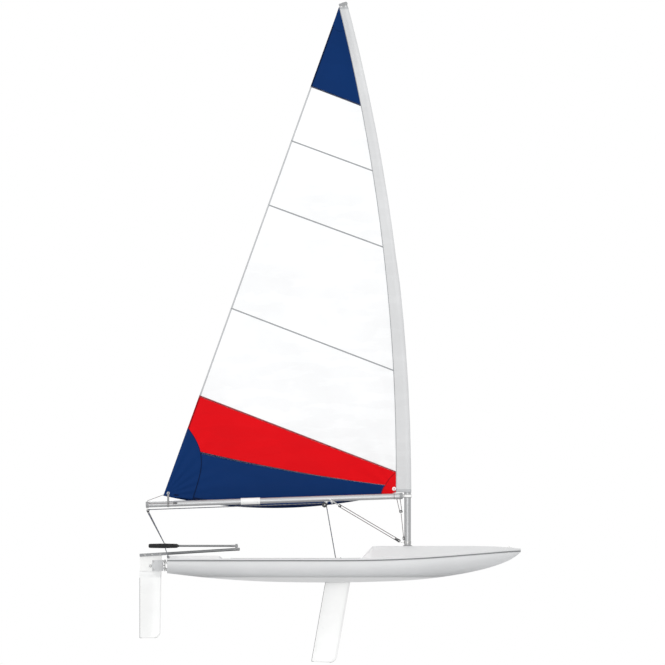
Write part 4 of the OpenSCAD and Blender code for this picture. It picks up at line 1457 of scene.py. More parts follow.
def makeDownhaul():
    kit = Kit("downhaul", "rig")
    under = boomPoint(0.040, up=-boomRadius)
    block = Vector((under.x + 0.024, 0, boomFront.z - 0.150))
    cleat = Vector((mastX - lowRadius - 0.006, 0, kickerHeight + 0.046))
    addBlock(kit, block, pinY, (cleat - block), 0.016, 0.009)
    tops = [boomPoint(0.054, up=-boomRadius - 0.004), boomPoint(0.024, up=-boomRadius - 0.004)]
    sheave = 0.011
    falls = [
        straight(tops[0], block + Vector((-sheave, 0, 0)), 16),
        straight(tops[1], block + Vector((sheave, 0, 0)), 16),
        wrap(block, pinY, sheave, Vector((-1, 0, 0)), Vector((0, 0, -1)), 6)
        + wrap(block, pinY, sheave, Vector((0, 0, -1)), Vector((1, 0, 0)), 6)[1:],
        straight(block + (cleat - block).normalized() * 0.014, cleat, 24),
    ]
    ropePiece("downhaulRope", falls, 0.003, "rig", finish="controlRope")
    # saddle under the boom and a small horn cleat on the mast
    saddle = boomPoint(0.039, up=-boomRadius - 0.001)
    slope = Matrix((boomAlong * -1, pinY, boomUp)).transposed().to_4x4()
    addBox(kit.of("steel"), saddle, (0.056, 0.014, 0.0022), 0.0008, slope)
    for top in tops:
        arch = []
        for k in range(11):
            turn = math.pi * k / 10
            arch.append(
                top + boomUp * 0.004 + boomAlong * -0.006 * math.cos(turn) - boomUp * 0.007 * math.sin(turn)
            )
        addTube(kit.of("steel"), arch, 0.0016, 8)
    back = mastX - lowRadius
    addBox(kit.of("dark"), (back - 0.002, 0, cleat.z - 0.006), (0.006, 0.014, 0.034), 0.0018)
    horn = [
        (back - 0.006, 0, cleat.z - 0.026), (back - 0.012, 0, cleat.z - 0.014),
        (back - 0.012, 0, cleat.z + 0.004), (back - 0.006, 0, cleat.z + 0.016),
    ]
    addTube(kit.of("dark"), smoothPath(horn, 5), 0.0032, 10)
    kit.done()


def makeOuthaul():
    cringle = sailPoint(0.984, 0.07)
    kit = Kit("outhaul", "rig")
    endTop = boomPoint(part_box("boom")[1].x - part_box("boom")[0].x + 0.006, up=boomRadius + 0.010)
    line = [cringle + Vector((-0.012, 0, -0.003)), endTop]
    rope = bmesh.new()
    addTube(rope, straight(*line, 16), 0.0024, 8)
    loop = []
    for k in range(13):
        turn = math.tau * k / 12
        loop.append(
            cringle + Vector(
                (-0.006 + 0.0075 * math.cos(turn), 0.0045 * math.sin(turn), -0.0015 + 0.0015 * math.cos(turn))
            )
        )
    addTube(rope, loop, 0.0024, 8)
    addKnot(rope, cringle + Vector((-0.020, 0, -0.008)), line[1] - line[0], 0.0026)
    # back under the end fitting and along the boom's side to its cleat
    side = -(boomRadius + 0.003)
    tailTop = boomPoint(2.20, aside=side, up=0.006)
    back = [
        endTop, endTop + Vector((-0.004, -0.010, -0.012)), boomPoint(2.425, aside=side - 0.003, up=0.008),
        boomPoint(2.38, aside=side, up=0.006), tailTop,
    ]
    addTube(rope, smoothPath(back, 8), 0.0024, 8)
    piece("outhaulRope", rope, "rig", "controlRope", crease=70)
    turn = Matrix((boomAlong * -1, pinY, boomUp)).transposed().to_4x4()
    addBox(
        kit.of("dark"), boomPoint(2.185, aside=-boomRadius - 0.004, up=0.006), (0.040, 0.010, 0.016), 0.003,
        turn,
    )
    addScrews(
        kit.of("steel"), [boomPoint(2.185 + d, aside=-boomRadius - 0.009, up=0.006) for d in (-0.013, 0.013)],
        0.0026, (0, -1, 0),
    )
    fairlead = []
    for k in range(17):
        a = math.tau * k / 16
        fairlead.append(endTop + Vector((0.0, 0.0065 * math.cos(a), 0.0065 * math.sin(a) - 0.001)))
    addTube(kit.of("steel"), fairlead, 0.0020, 8)
    addBox(kit.of("white"), endTop + Vector((0, 0, -0.012)), (0.018, 0.016, 0.014), 0.002, turn)
    kit.done()


def makeClewStrap():
    cringle = sailPoint(0.984, 0.07)
    centre = boomPoint((boomFront.x - cringle.x) / -boomAlong.x)
    ring = boomRadius + 0.0022
    path = [cringle + Vector((0, -0.0040, -0.006))]
    for k in range(25):
        a = math.radians(50 - 280 * k / 24)
        path.append(Vector((cringle.x, centre.y - ring * math.cos(a), centre.z + ring * math.sin(a))))
    path.append(cringle + Vector((0, 0.0045, -0.006)))
    path = [path[0], path[0].lerp(path[1], 0.5), *path[1:-1], path[-2].lerp(path[-1], 0.5), path[-1]]
    bm = bmesh.new()
    addTube(bm, path, 0.0009, 12, flat=11.0, up=(1, 0, 0))
    hook = [
        cringle + Vector((0, -0.006, -0.010)), cringle + Vector((0, -0.005, 0.001)),
        cringle + Vector((0, 0, 0.004)), cringle + Vector((0, 0.005, 0.001)),
        cringle + Vector((0, 0.006, -0.010)),
    ]
    piece("clewStrap", bm, "rig", "whiteWebbing", crease=50)
    steel = bmesh.new()
    addTube(steel, smoothPath(hook, 6), 0.0016, 8)
    piece("clewHook", steel, "rig", "steel")


def makeTackFittings():
    # white cringle in the tack patch and the line that holds it down to the boom
    bm = bmesh.new()
    p = sailPoint(0.0098, 0.62)
    ring = [
        (0.0065, -0.0045), (0.010, -0.0060), (0.0180, -0.0048), (0.0192, -0.0030), (0.0192, 0.0030),
        (0.0180, 0.0048),
        (0.010, 0.0060), (0.0065, 0.0045), (0.0058, 0), (0.0065, -0.0045),
    ]
    ahead = sailPoint(0.022, 0.62) - sailPoint(0.002, 0.62)
    upward = sailPoint(0.0098, 0.9) - sailPoint(0.0098, 0.3)
    addLathe(bm, ring, facing(ahead.cross(upward), p), 32)
    piece("tackCringle", bm, "rig", "white")
    foot = boomPoint(boomFront.x - p.x, up=0)
    rope = bmesh.new()
    loop = []
    ringSize = boomRadius + 0.0028
    for k in range(25):
        a = math.radians(62 - 304 * k / 24)
        loop.append(Vector((p.x, foot.y - ringSize * math.cos(a), foot.z + ringSize * math.sin(a))))
    path = [
        p + Vector((0, -0.001, -0.0085)), p + Vector((0, -0.0075, -0.014)), *loop,
        p + Vector((0, 0.0075, -0.014)), p + Vector((0, 0.001, -0.0085)),
    ]
    addTube(rope, path, 0.0022, 8)
    piece("tackLine", rope, "rig", "controlRope", crease=70)


kickerHeight = boxCentre("kicker_mast_lug").z
makeMainsheet()
makeJammer()
makeKicker()
makeDownhaul()
makeOuthaul()
makeClewStrap()
makeTackFittings()
print("rigging made")


# hull fittings


def makeHullFittings():
    gateLow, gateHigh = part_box("mast_gate")
    bore = lowRadius + 0.0015
    outside = (gateHigh.x - gateLow.x) / 2
    gate = Kit("mastGate", "hull")
    high = gateHigh.z
    profile = [
        (bore, gateLow.z), (outside - 0.0008, gateLow.z), (outside, gateLow.z + 0.0022),
        (outside - 0.003, gateLow.z + 0.0036),
        (bore + 0.007, gateLow.z + 0.0046), (bore + 0.0055, high - 0.0012), (bore + 0.004, high),
        (bore + 0.001, high),
        (bore, high - 0.001), (bore, gateLow.z),
    ]
    addLathe(gate.of("greyNylon"), profile, Matrix.Translation((mastX, 0, 0)), 48)
    spots = [
        (
            mastX + (outside - 0.0058) * math.cos(math.radians(a)),
            (outside - 0.0058) * math.sin(math.radians(a)), gateLow.z + 0.0036,
        )
        for a in range(30, 390, 60)
    ]
    addScrews(gate.of("steel"), spots, 0.0028)
    gate.done({"greyNylon": ["mast_gate"]})

    low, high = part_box("drain_bung")
    middle = (low + high) / 2
    bung = Kit("drainBung", "hull")
    place = facing((-1, 0, 0), (high.x, middle.y, middle.z))
    profile = [
        (0, 0), (0.0168, 0), (0.017, 0.001), (0.0162, 0.003), (0.0125, 0.0038), (0.0112, 0.0042),
        (0.0108, 0.0098),
        (0.0098, 0.0108), (0.0065, 0.0108), (0.006, 0.0085), (0, 0.0082),
    ]
    addLathe(bung.of("dark"), profile, place, 32)
    for k in range(10):
        turn = Matrix.Rotation(math.tau * k / 10, 4, "X")
        offset = Vector((high.x - 0.0072, middle.y, middle.z)) + turn @ Vector((0, 0.0109, 0))
        addBox(bung.of("dark"), offset, (0.0052, 0.0016, 0.0024), 0.0005, turn)
    screws = [
        (high.x - 0.0030, middle.y + 0.0145 * math.cos(a), middle.z + 0.0145 * math.sin(a))
        for a in (0.8, 2.35, 3.95, 5.5)
    ]
    addScrews(bung.of("steel"), screws, 0.0017, (-1, 0, 0))
    bung.done({"dark": ["drain_bung"]})

    screws = bmesh.new()
    low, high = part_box("transom_gudgeons")
    for z in (low.z + 0.016, low.z + 0.068 + 0.016):
        for y in (-0.0175, 0.0175):
            for dz in (-0.011, 0.011):
                addScrews(screws, [(transomX - 0.003, y, z + dz)], 0.003, (-1, 0, 0))
    low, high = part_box("traveller_eyes")
    for y in (high.y - 0.016, low.y + 0.016):
        for dy in (-0.0125, 0.0125):
            addScrews(screws, [((low.x + high.x) / 2, y + dy, low.z + 0.005)], 0.0026)
    low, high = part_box("bow_eye")
    for dx in (-0.0178, 0.0178):
        addScrews(screws, [((low.x + high.x) / 2 + dx, 0, low.z + 0.005)], 0.0034)
    piece("fittingScrews", screws, "hull", "steel")


strap = {"sag": 0.012}


def makeToeStrap():
    low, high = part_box("toe_strap")
    width = high.y - low.y
    length = high.x - low.x

    def where(u, v):
        x = along(low.x - 0.012, high.x + 0.012, u)
        sag = strap["sag"] * math.sin(math.pi * clip((x - low.x) / length)) ** 0.8
        crown = 0.0016 * (1 - (2 * v - 1) ** 2) * math.sin(math.pi * u)
        twist = 0.006 * math.sin(math.pi * u) * (v - 0.5)
        return Vector((x, along(low.y, high.y, v), (low.z + high.z) / 2 - sag - crown + twist))
    bm = clothGrid(120, 8, where)
    uv = bm.loops.layers.uv["cloth"]
    for face in bm.faces:
        for corner in face.loops:
            corner[uv].uv = (corner.vert.co.y, corner.vert.co.x)
    made = piece("toeStrap", bm, "hull", "webbing", ["toe_strap"], crease=60)
    modifier(made, "SOLIDIFY", thickness=0.0022, offset=0.0)

    # doubled ends sewn with a cross in a box
    fold = bmesh.new()
    thread = bmesh.new()
    for xFrom, way in ((low.x, 1), (high.x, -1)):
        def end(u, v, xFrom=xFrom, way=way):
            x = xFrom + way * 0.11 * u
            spot = where(clip((x - low.x + 0.012) / (length + 0.024)), v)
            return spot + Vector((0, 0, 0.0021))
        part = clothGrid(24, 8, end)
        join(fold, part)
        corners = [
            (0.12, 0.12), (0.88, 0.12), (0.88, 0.88), (0.12, 0.88), (0.12, 0.12), (0.88, 0.88), (0.88, 0.12),
            (0.12, 0.88),
        ]
        path = []
        for a, b in zip(corners, corners[1:]):
            path += [
                end(along(a[0], b[0], k / 6), along(a[1], b[1], k / 6)) + Vector((0, 0, 0.0014))
                for k in range(7)
            ]
        addTube(thread, path, 0.0005, 5)
    uv = fold.loops.layers.uv["cloth"]
    for face in fold.faces:
        for corner in face.loops:
            corner[uv].uv = (corner.vert.co.y, corner.vert.co.x)
    made = piece("toeStrapEnds", fold, "hull", "webbing", crease=60)
    modifier(made, "SOLIDIFY", thickness=0.0020, offset=0.0)
    piece("toeStrapStitching", thread, "hull", "thread")

    kit = Kit("toeStrapAnchor", "hull")
    for side in (-1, 1):
        x = (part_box("toe_strap_anchors")[0].x if side < 0 else high.x) + 0.013
        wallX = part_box("toe_strap_anchors")[0].x + 0.0015 if side < 0 else high.x + 0.0245
        z = (low.z + high.z) / 2
        addBox(kit.of("steel"), (wallX, 0, z), (0.003, width + 0.010, 0.019), 0.001)
        for y in (-width / 2 - 0.0005, width / 2 + 0.0005):
            addBox(kit.of("steel"), (x, y, z), (0.024, 0.003, 0.010), 0.001)
        addTube(
            kit.of("steel"),
            [(x - side * -0.006, -width / 2 - 0.002, z), (x - side * -0.006, width / 2 + 0.002, z)], 0.0036,
            12,
        )
        spots = [
            (wallX + (-side) * 0.0015, y, z + dz) for y in (-0.019, 0.0, 0.019) for dz in (-0.0062, 0.0062)
        ]
        addScrews(kit.of("steel"), spots, 0.0026, (-side, 0, 0))
    kit.done({"steel": ["toe_strap_anchors"]})


# foils

foil = {"tail": 0.0016, "edgeRound": 0.010, "strip": 0.0023}


def foilHalf(share, thickness):
    # half thickness of the section, from nose (0) to tail (1)
    s = clip(share)
    shape = 2.969 * math.sqrt(s) - 1.26 * s - 3.516 * s ** 2 + 2.843 * s ** 3 - 1.036 * s ** 4
    return max(thickness / 2 * shape, foil["tail"] / 2 * clip((1 - s) / 0.004) if s > 0.5 else 0)


def plateHalf(share, thickness):
    edge = min(share, 1 - share) * 2
    return thickness / 2 * math.sqrt(1 - (1 - clip(edge / 0.06)) ** 2) if edge < 0.06 else thickness / 2


def addFoil(bm, around, levels, edges, thickness, plate, place):
    # sections stacked down the foil; edges gives nose and tail at each level, plate how flat it is there
    part = bmesh.new()
    bmesh.ops.create_grid(part, x_segments=around, y_segments=len(levels) - 1, size=1.0)
    last = levels[-1]
    for v in part.verts:
        u = (v.co.x + 1) / 2
        level = levels[round((v.co.y + 1) / 2 * (len(levels) - 1))]
        nose, tail = edges(level)
        share = (1 + math.cos(math.tau * u)) / 2
        side = -1 if u < 0.5 else 1
        half = along(foilHalf(share, thickness), plateHalf(share, thickness), plate(level))
        rim = clip(abs(level - last) / foil["edgeRound"])
        half *= math.sqrt(1 - (1 - rim) ** 2)
        if u in (0.0, 1.0) or abs(u - 0.5) < 1e-6:
            side = 0 if abs(u - 0.5) < 1e-6 else side
        v.co = place(along(nose, tail, share), side * half, level)
    bmesh.ops.remove_doubles(part, verts=part.verts, dist=2e-5)
    boundary = [e for e in part.edges if len(e.link_faces) == 1]
    if boundary:
        bmesh.ops.holes_fill(part, edges=boundary, sides=0)
    bmesh.ops.recalc_face_normals(part, faces=part.faces)
    join(bm, part)


def edgeStrip(name, body, levels, edges, place):
    # a grey wear strip let into the foil's edge
    radius = foil["strip"]
    end = levels[-1] + radius
    down = [place(edges(z)[0] - radius, 0, max(z, end)) for z in levels]
    up = [place(edges(z)[1] + radius, 0, max(z, end)) for z in reversed(levels)]
    bm = bmesh.new()
    addTube(bm, [*down, *up], radius, 8)
    piece(name, bm, body, "strip", crease=70)


def makeDaggerboard():
    low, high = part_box("daggerboard")
    up = boardAxis.normalized()
    ahead = Vector((up.z, 0, -up.x))
    thickness = high.y - low.y
    headLow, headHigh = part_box("daggerboard_head")
    chord = headHigh.x - headLow.x - 0.012
    headX = (headLow.x + headHigh.x) / 2
    top = Vector((headX, 0, headLow.z))
    tip, heel, slope = 0.072, 0.010, math.tan(math.radians(7))
    depth = (headLow.z - low.z - chord / 2 * up.x + tip * (up.x + up.z - 1)) / up.z - 0.0016
    bottom = -depth

    def edges(level):
        nose, tail = chord / 2, -chord / 2
        if level < bottom + tip:
            nose -= tip - math.sqrt(max(tip ** 2 - (bottom + tip - level) ** 2, 0))
        if level < bottom + heel:
            tail += heel - math.sqrt(max(heel ** 2 - (bottom + heel - level) ** 2, 0))
        return nose, tail

    levels = [along(-0.0, bottom + 0.09, k / 40) for k in range(40)]
    levels += [bottom + 0.09 * (1 - math.sin(math.pi / 2 * k / 28)) for k in range(29)]

    def place(c, y, level):
        # the end slopes down towards its aft corner
        drop = slope * max(chord / 2 - tip - c, 0) * clip((bottom + 0.2 - level) / 0.2)
        return top + ahead * c + up * (level - drop) + Vector((0, y, 0))

    bm = bmesh.new()
    addFoil(bm, 96, levels, edges, thickness, lambda level: 0.0, place)
    edgeStrip("boardEdge", "daggerboard", levels[1:], edges, place)
    piece("boardFoil", bm, "daggerboard", "foil", ["daggerboard"], crease=40)

    head = Kit("boardHead", "daggerboard")
    size = headHigh - headLow
    centre = (headLow + headHigh) / 2
    part = bmesh.new()
    loop = roundedLoop(-size.x / 2, size.x / 2, size.y / 2, 0.012, 5)
    layers = (
        (0.0, 0.0015), (0.0012, 0.0), (size.z * 0.38, 0.0), (size.z * 0.46, 0.0022), (size.z * 0.62, 0.0022),
        (size.z * 0.70, 0.0004), (size.z - 0.004, 0.0004), (size.z - 0.0012, 0.0018), (size.z, 0.0045),
    )
    verts = [part.verts.new((x, y, 0)) for x, y in loop]
    ring = [part.edges.new((a, b)) for a, b in zip(verts, verts[1:] + verts[:1])]
    bmesh.ops.remove_doubles(part, verts=part.verts, dist=1e-6)
    ring = part.edges[:]
    bmesh.ops.contextual_create(part, geom=ring)
    shrink = 0.0
    for k, (z, inset) in enumerate(layers):
        scale = Vector(((size.x - 2 * inset) / size.x, (size.y - 2 * inset) / size.y, 1))
        if k:
            grown = bmesh.ops.extrude_edge_only(part, edges=ring)["geom"]
            verts = [g for g in grown if isinstance(g, bmesh.types.BMVert)]
            ring = [g for g in grown if isinstance(g, bmesh.types.BMEdge)]
            for v in verts:
                v.co = (v.co.x / shrink.x * scale.x, v.co.y / shrink.y * scale.y, z)
        else:
            for v in part.verts:
                v.co = (v.co.x * scale.x, v.co.y * scale.y, z)
        shrink = scale
    bmesh.ops.contextual_create(part, geom=ring)
    bmesh.ops.recalc_face_normals(part, faces=part.faces)
    moved(part, part.verts, Matrix.Translation((centre.x, 0, headLow.z)))
    join(head.of("greyNylon"), part)
    # a rope handle through two holes
    handle = [(centre.x - 0.060, 0, headHigh.z - 0.003)]
    for k in range(11):
        t = k / 10
        handle.append(
            (
                centre.x - 0.060 + 0.120 * t, 0.004 * math.sin(math.tau * t),
                headHigh.z + 0.004 + 0.004 * math.sin(math.pi * t),
            )
        )
    handle.append((centre.x + 0.060, 0, headHigh.z - 0.003))
    addTube(head.of("sheetRope"), smoothPath(handle, 4), 0.0045, 10)
    for dx in (-0.060, 0.060):
        addLathe(
            head.of("steel"), discProfile(0.0085, -0.0005, 0.0012, 0.0005, 0.0046),
            Matrix.Translation((centre.x + dx, 0, headHigh.z)), 24,
        )
    for dx in (-0.10, 0.10):
        addScrews(head.of("steel"), [(centre.x + dx, 0, headHigh.z - 0.0002)], 0.0036)
    head.done({"greyNylon": ["daggerboard_head"]})


def makeRudder():
    low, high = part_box("rudder_blade")
    pivot = bladePivot
    radius = high.z - pivot.z
    thickness = high.y - low.y
    bottom = low.z
    tip = 0.066

    def edges(z):
        nose, tail = pivot.x + radius, pivot.x - radius
        if z > pivot.z:
            half = math.sqrt(max(radius ** 2 - (z - pivot.z) ** 2, 0))
            return pivot.x + half, pivot.x - half
        nose -= 0.010 * (pivot.z - z) / (pivot.z - bottom - tip) if z > bottom + tip else 0.010
        if z < bottom + tip:
            nose -= tip - math.sqrt(max(tip ** 2 - (bottom + tip - z) ** 2, 0))
        if z < bottom + 0.006:
            tail += 0.006 - math.sqrt(max(0.006 ** 2 - (bottom + 0.006 - z) ** 2, 0))
        return nose, tail

    levels = [pivot.z + radius * math.cos(math.pi / 2 * k / 16) for k in range(16)]
    levels += [along(pivot.z, bottom + 0.08, k / 36) for k in range(36)]
    levels += [bottom + 0.08 * (1 - math.sin(math.pi / 2 * k / 26)) for k in range(27)]
    bm = bmesh.new()
    addFoil(
        bm, 96, levels, edges, thickness,
        lambda z: (lambda s: s * s * (3 - 2 * s))(clip((z + 0.02) / 0.065)),
        lambda x, y, z: Vector((x, y, z)),
    )
    edgeStrip(
        "bladeEdge", "rudder_blade", [z for z in levels if z < pivot.z - 0.1], edges, lambda x, y,
        z: Vector((x, y, z)),
    )
    piece("rudderFoil", bm, "rudder_blade", "foil", ["rudder_blade"], crease=40)

    bm = copyOf("rudder_cheeks")
    made = piece(
        "rudderCheeks", bm, "rudder", "white", ["rudder_cheeks"], outward=False, crease=30,
    )
    modifier(made, "BEVEL", width=0.0016, segments=3, limit_method="ANGLE", angle_limit=math.radians(50))

    bolts = Kit("rudderBolt", "rudder")
    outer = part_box("rudder_stock")[1].y
    low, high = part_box("rudder_stock")
    for x, z in (
        (high.x - 0.018, (low.z + high.z) / 2), (low.x + 0.012, low.z + 0.014),
        (low.x + 0.012, high.z - 0.014),
    ):
        for side in (-1, 1):
            place = facing((0, side, 0), (x, side * outer, z))
            profile = [
                (0.0, -0.0005), (0.0075, -0.0005), (0.0075, 0.0008), (0.0062, 0.0012), (0.0056, 0.003),
                (0.003, 0.0042), (0, 0.0044),
            ]
            addLathe(bolts.of("steel"), profile, place, 20)
    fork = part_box("tiller_fork")
    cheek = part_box("rudder_cheeks")
    for x in (cheek[0].x + 0.050, cheek[0].x + 0.120, cheek[1].x - 0.02):
        z = fork[0].z + 0.0125 + (x - fork[0].x) * math.tan(math.radians(3.5))
        for side in (-1, 1):
            place = facing((0, side, 0), (x, side * fork[1].y, z))
            profile = [
                (0.0, -0.0005), (0.0078, -0.0005), (0.0078, 0.0008), (0.0062, 0.0012), (0.0054, 0.0032),
                (0.003, 0.0044), (0, 0.0046),
            ]
            addLathe(bolts.of("steel"), profile, place, 20)
    bolts.done()

    # pivot bolt with a nylon washer each side, and a hexagon head
    pivotKit = Kit("bladePivot", "rudder")
    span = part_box("blade_pivot")[1].y
    addLathe(
        pivotKit.of("steel"), [(0, -outer), (0.006, -outer), (0.006, outer), (0, outer)],
        facing((0, 1, 0), pivot), 24,
    )
    for side in (-1, 1):
        place = facing((0, side, 0), (pivot.x, side * outer, pivot.z))
        addLathe(pivotKit.of("greyNylon"), discProfile(0.0135, 0.0, 0.0018, 0.0005), place, 32)
        hexagon = [
            (0, 0.0018), (0.0105, 0.0018), (0.0110, 0.0024), (0.0110, span - outer - 0.001),
            (0.0092, span - outer), (0, span - outer),
        ]
        addLathe(pivotKit.of("steel"), hexagon, place, 6)
    pivotKit.done({"steel": ["blade_pivot"]}, crease=25)


# tiller and its extension


def makeTiller():
    low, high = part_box("tiller")
    slope = math.radians(3.5)
    way = Vector((math.cos(slope), 0, math.sin(slope)))
    radius = (high.y - low.y) / 2
    front = Vector((high.x, 0, high.z - radius * math.cos(slope)))
    kit = Kit("tillerEnd", "rudder")
    place = facing(way, front - way * 0.0005)
    profile = [
        (0, -0.012), (radius - 0.0016, -0.012), (radius - 0.0016, -0.0004), (radius + 0.0003, 0.0),
        (radius + 0.0004, 0.0018),
        (radius - 0.001, 0.0034), (radius * 0.6, 0.0046), (0, 0.005),
    ]
    addLathe(kit.of("dark"), profile, place, 32)
    # collar that clamps the joint's rubber foot to the tube
    spot = front - way * ((front.x - swingX) / way.x)
    for offset in (-0.0155, 0.0155):
        ring = [
            (radius + 0.0002, -0.004), (radius + 0.0018, -0.0034), (radius + 0.0018, 0.0034),
            (radius + 0.0002, 0.004), (radius - 0.001, 0.0), (radius + 0.0002, -0.004),
        ]
        addLathe(kit.of("steel"), ring, facing(way, spot + way * offset), 32)
    kit.done()


grip = {"flare": 0.0025}


def makeExtension():
    low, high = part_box("extension_grip")
    pivot = Vector((swingX, 0, (low.z + high.z) / 2))
    centre = (low + high) / 2
    way = Vector((centre.x - pivot.x, centre.y - pivot.y, 0)).normalized()
    radius = (high.z - low.z) / 2 - 0.0025
    length = 0.283
    start = pivot + way * (0.850 - length)
    profile = [
        (0.0095, 0.0005), (0.013, 0.0), (radius - 0.008, 0.001), (radius - 0.004, 0.004),
        (radius - 0.002, 0.010),
    ]
    count = 46
    for k in range(count + 1):
        s = 0.014 + (length - 0.028) * k / count
        # thickest in the middle, with shallow turned grooves near the ends
        swell = math.sin(math.pi * s / length) * grip["flare"]
        groove = 0.0009 if (k % 4 == 2 and (s < 0.09 or s > length - 0.09)) else 0.0
        profile.append((radius - 0.0016 + swell - groove, s))
    profile += [
        (radius - 0.002, length - 0.010), (radius - 0.004, length - 0.004), (radius - 0.008, length - 0.001),
        (0.006, length), (0, length),
    ]
    bm = bmesh.new()
    addLathe(bm, profile, facing(way, start), 40)
    piece("gripFoam", bm, "extension", "foam", ["extension_grip"], crease=50)
    kit = Kit("extensionEnd", "extension")
    place = facing(way, start)
    ring = [
        (0.0102, -0.010), (0.0118, -0.010), (0.0124, -0.0085), (0.0124, -0.001), (0.0112, 0.0006),
        (0.0102, 0.0006), (0.0102, -0.010),
    ]
    addLathe(kit.of("dark"), ring, place, 32)
    plug = [
        (0, length - 0.0005), (0.0098, length - 0.0005), (0.0098, length + 0.0004), (0.0085, length + 0.0016),
        (0, length + 0.002),
    ]
    addLathe(kit.of("greyNylon"), plug, place, 28)
    ringPlace = facing(way, pivot)
    for s in (0.0445, 0.030):
        ring = [
            (0.0108, s - 0.002), (0.0122, s - 0.0016), (0.0122, s + 0.0016), (0.0108, s + 0.002), (0.0100, s),
            (0.0108, s - 0.002),
        ]
        addLathe(kit.of("greyNylon"), ring, ringPlace, 28)
    bolt = pivot + way * 0.037
    addBolt(kit, bolt, Vector((-way.y, way.x, 0)), 0.023, 0.0022, 0.0038)
    kit.done()


# spar fittings


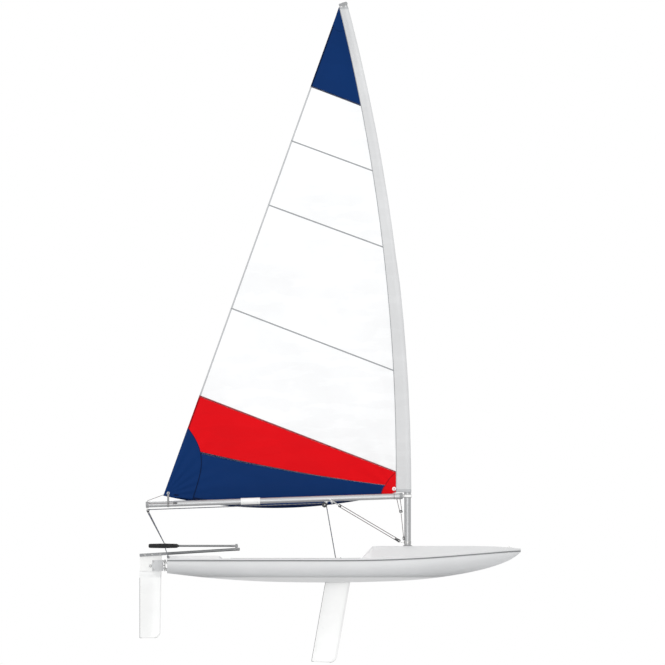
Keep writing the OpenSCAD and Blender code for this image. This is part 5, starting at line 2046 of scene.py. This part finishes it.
def makeSparFittings():
    kit = Kit("gooseneck", "rig")
    low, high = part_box("gooseneck")
    outer = high.y
    inner = lowRadius
    collarLow, collarHigh = low.z, high.z
    collarRing, collarTop = collarLow + 0.006, collarHigh - 0.004
    profile = [
        (inner + 0.0002, collarRing), (outer - 0.0015, collarRing), (outer, collarRing + 0.0015),
        (outer, collarTop - 0.0015), (outer - 0.0015, collarTop), (inner + 0.0002, collarTop),
        (inner + 0.0002, collarRing),
    ]
    addLathe(kit.of("white"), profile, Matrix.Translation((mastX, 0, 0)), 56)
    cuff = outer - 0.0035
    for zLow, zHigh in ((collarLow, collarRing), (collarTop, collarHigh)):
        band = [
            (inner + 0.0002, zLow), (cuff - 0.001, zLow), (cuff, zLow + 0.001), (cuff, zHigh),
            (inner + 0.0002, zHigh), (inner + 0.0002, zLow),
        ]
        addLathe(kit.of("greyNylon"), band, Matrix.Translation((mastX, 0, 0)), 56)
    turn = Matrix((-boomAlong, pinY, boomUp)).transposed().to_4x4()
    tongue = boomPoint(-0.010)
    addBox(kit.of("white"), tongue + Vector((0, 0, 0)), (0.030, 0.016, 0.018), 0.0025, turn)
    # plug and jaws at the boom's front end
    place = facing(boomAlong, boomFront)
    r = boomRadius
    plug = [
        (0, -0.0035), (r * 0.5, -0.0035), (r - 0.004, -0.0025), (r - 0.0005, 0.0), (r + 0.0012, 0.002),
        (r + 0.0012, 0.026),
        (r + 0.0002, 0.028), (r - 0.002, 0.028), (0, 0.028),
    ]
    addLathe(kit.of("greyNylon"), plug, place, 40)
    for side in (-1, 1):
        addBox(kit.of("steel"), boomPoint(-0.002, aside=side * 0.0098), (0.030, 0.0024, 0.020), 0.0009, turn)
    addBolt(kit, boomPoint(-0.0105), boomUp, 0.022, 0.003, 0.0052)
    addBolt(kit, boomPoint(0.0075), pinY, 0.0235, 0.0026, 0.0045)
    for angle in (60, 120, 240, 300):
        turnVec = aroundBoom(angle)
        addScrews(kit.of("steel"), [boomPoint(0.015) + turnVec * (r + 0.0010)], 0.0024, tuple(turnVec))
    kit.done({"white": ["gooseneck"]})

    end = Kit("boomEnd", "rig")
    length = (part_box("boom")[1].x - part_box("boom")[0].x) / -boomAlong.x
    capRadius = r + 0.002
    place = facing(boomAlong, boomPoint(length - 0.0008))
    cap = [
        (0, 0), (capRadius - 0.001, 0), (capRadius, 0.001), (capRadius, 0.004), (capRadius - 0.0010, 0.005),
        (capRadius - 0.0010, 0.0215), (capRadius - 0.0024, 0.0245), (capRadius * 0.55, 0.0262),
        (capRadius * 0.45, 0.0240), (0, 0.0240),
    ]
    addLathe(end.of("greyNylon"), cap, place, 40)
    for angle in (0, 90, 180):
        turnVec = aroundBoom(angle)
        addScrews(
            end.of("steel"), [boomPoint(length + 0.012) + turnVec * (capRadius - 0.0012)], 0.0024,
            tuple(turnVec),
        )
    end.done({"greyNylon": ["boom_end_cap"]})

    band = Kit("boomBand", "rig")
    low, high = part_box("boom_band")
    outer = (high.y - low.y) / 2
    start, finish = 1.371, 1.555
    sleeve = [
        (r + 0.0002, start), (outer - 0.0012, start), (outer, start + 0.0014), (outer, start + 0.010),
        (outer - 0.0010, start + 0.0115),
        (outer - 0.0010, finish - 0.0115), (outer, finish - 0.010), (outer, finish - 0.0014),
        (outer - 0.0012, finish),
        (r + 0.0002, finish), (r + 0.0002, start),
    ]
    addLathe(band.of("white"), sleeve, facing(boomAlong, boomFront), 56)
    for s in (start + 0.0235, finish - 0.0235):
        for angle in (200, 340, 90):
            turnVec = aroundBoom(angle)
            addScrews(band.of("steel"), [boomPoint(s) + turnVec * (outer - 0.0012)], 0.0024, tuple(turnVec))
    band.done({"white": ["boom_band"]})

    rivets = bmesh.new()
    for s in (0.733 - 0.036, 0.733 + 0.036, 0.676 - 0.036):
        addScrews(rivets, [boomPoint(s, up=0.0002 - r)], 0.0028, tuple(-boomUp))
    low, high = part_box("kicker_mast_lug")
    ringZ = (low.z + high.z) / 2
    for angle in (35, 90, 145, 215, 270, 325):
        turnVec = Vector((math.cos(math.radians(angle)), math.sin(math.radians(angle)), 0))
        for dz in (-0.0075, 0.0075):
            addScrews(
                rivets, [Vector((mastX, 0, ringZ + dz)) + turnVec * (lowRadius + 0.0030)], 0.0026,
                tuple(turnVec),
            )
    piece("sparRivets", rivets, "rig", "steel")

    bm = copyOf("mast_cap")
    top = Vector((mastAxis(headHeight + rig["headBelowTop"]), 0, headHeight + rig["headBelowTop"]))
    lean = Matrix.Rotation(-math.asin((top.z - bendFoot) / rig["bendRadius"]), 4, "Y")
    addBox(bm, top + lean @ Vector((-0.0135, 0, 0.011)), (0.081, 0.054, 0.030), 0.007, lean)
    made = piece("mastCap", bm, "rig", "greyNylon", ["mast_cap"], outward=False, crease=40)
    modifier(made, "BEVEL", width=0.0025, segments=3, limit_method="ANGLE", angle_limit=math.radians(25))


makeHullFittings()
makeToeStrap()
makeDaggerboard()
makeRudder()
makeTiller()
makeExtension()
makeSparFittings()
print("fittings made")
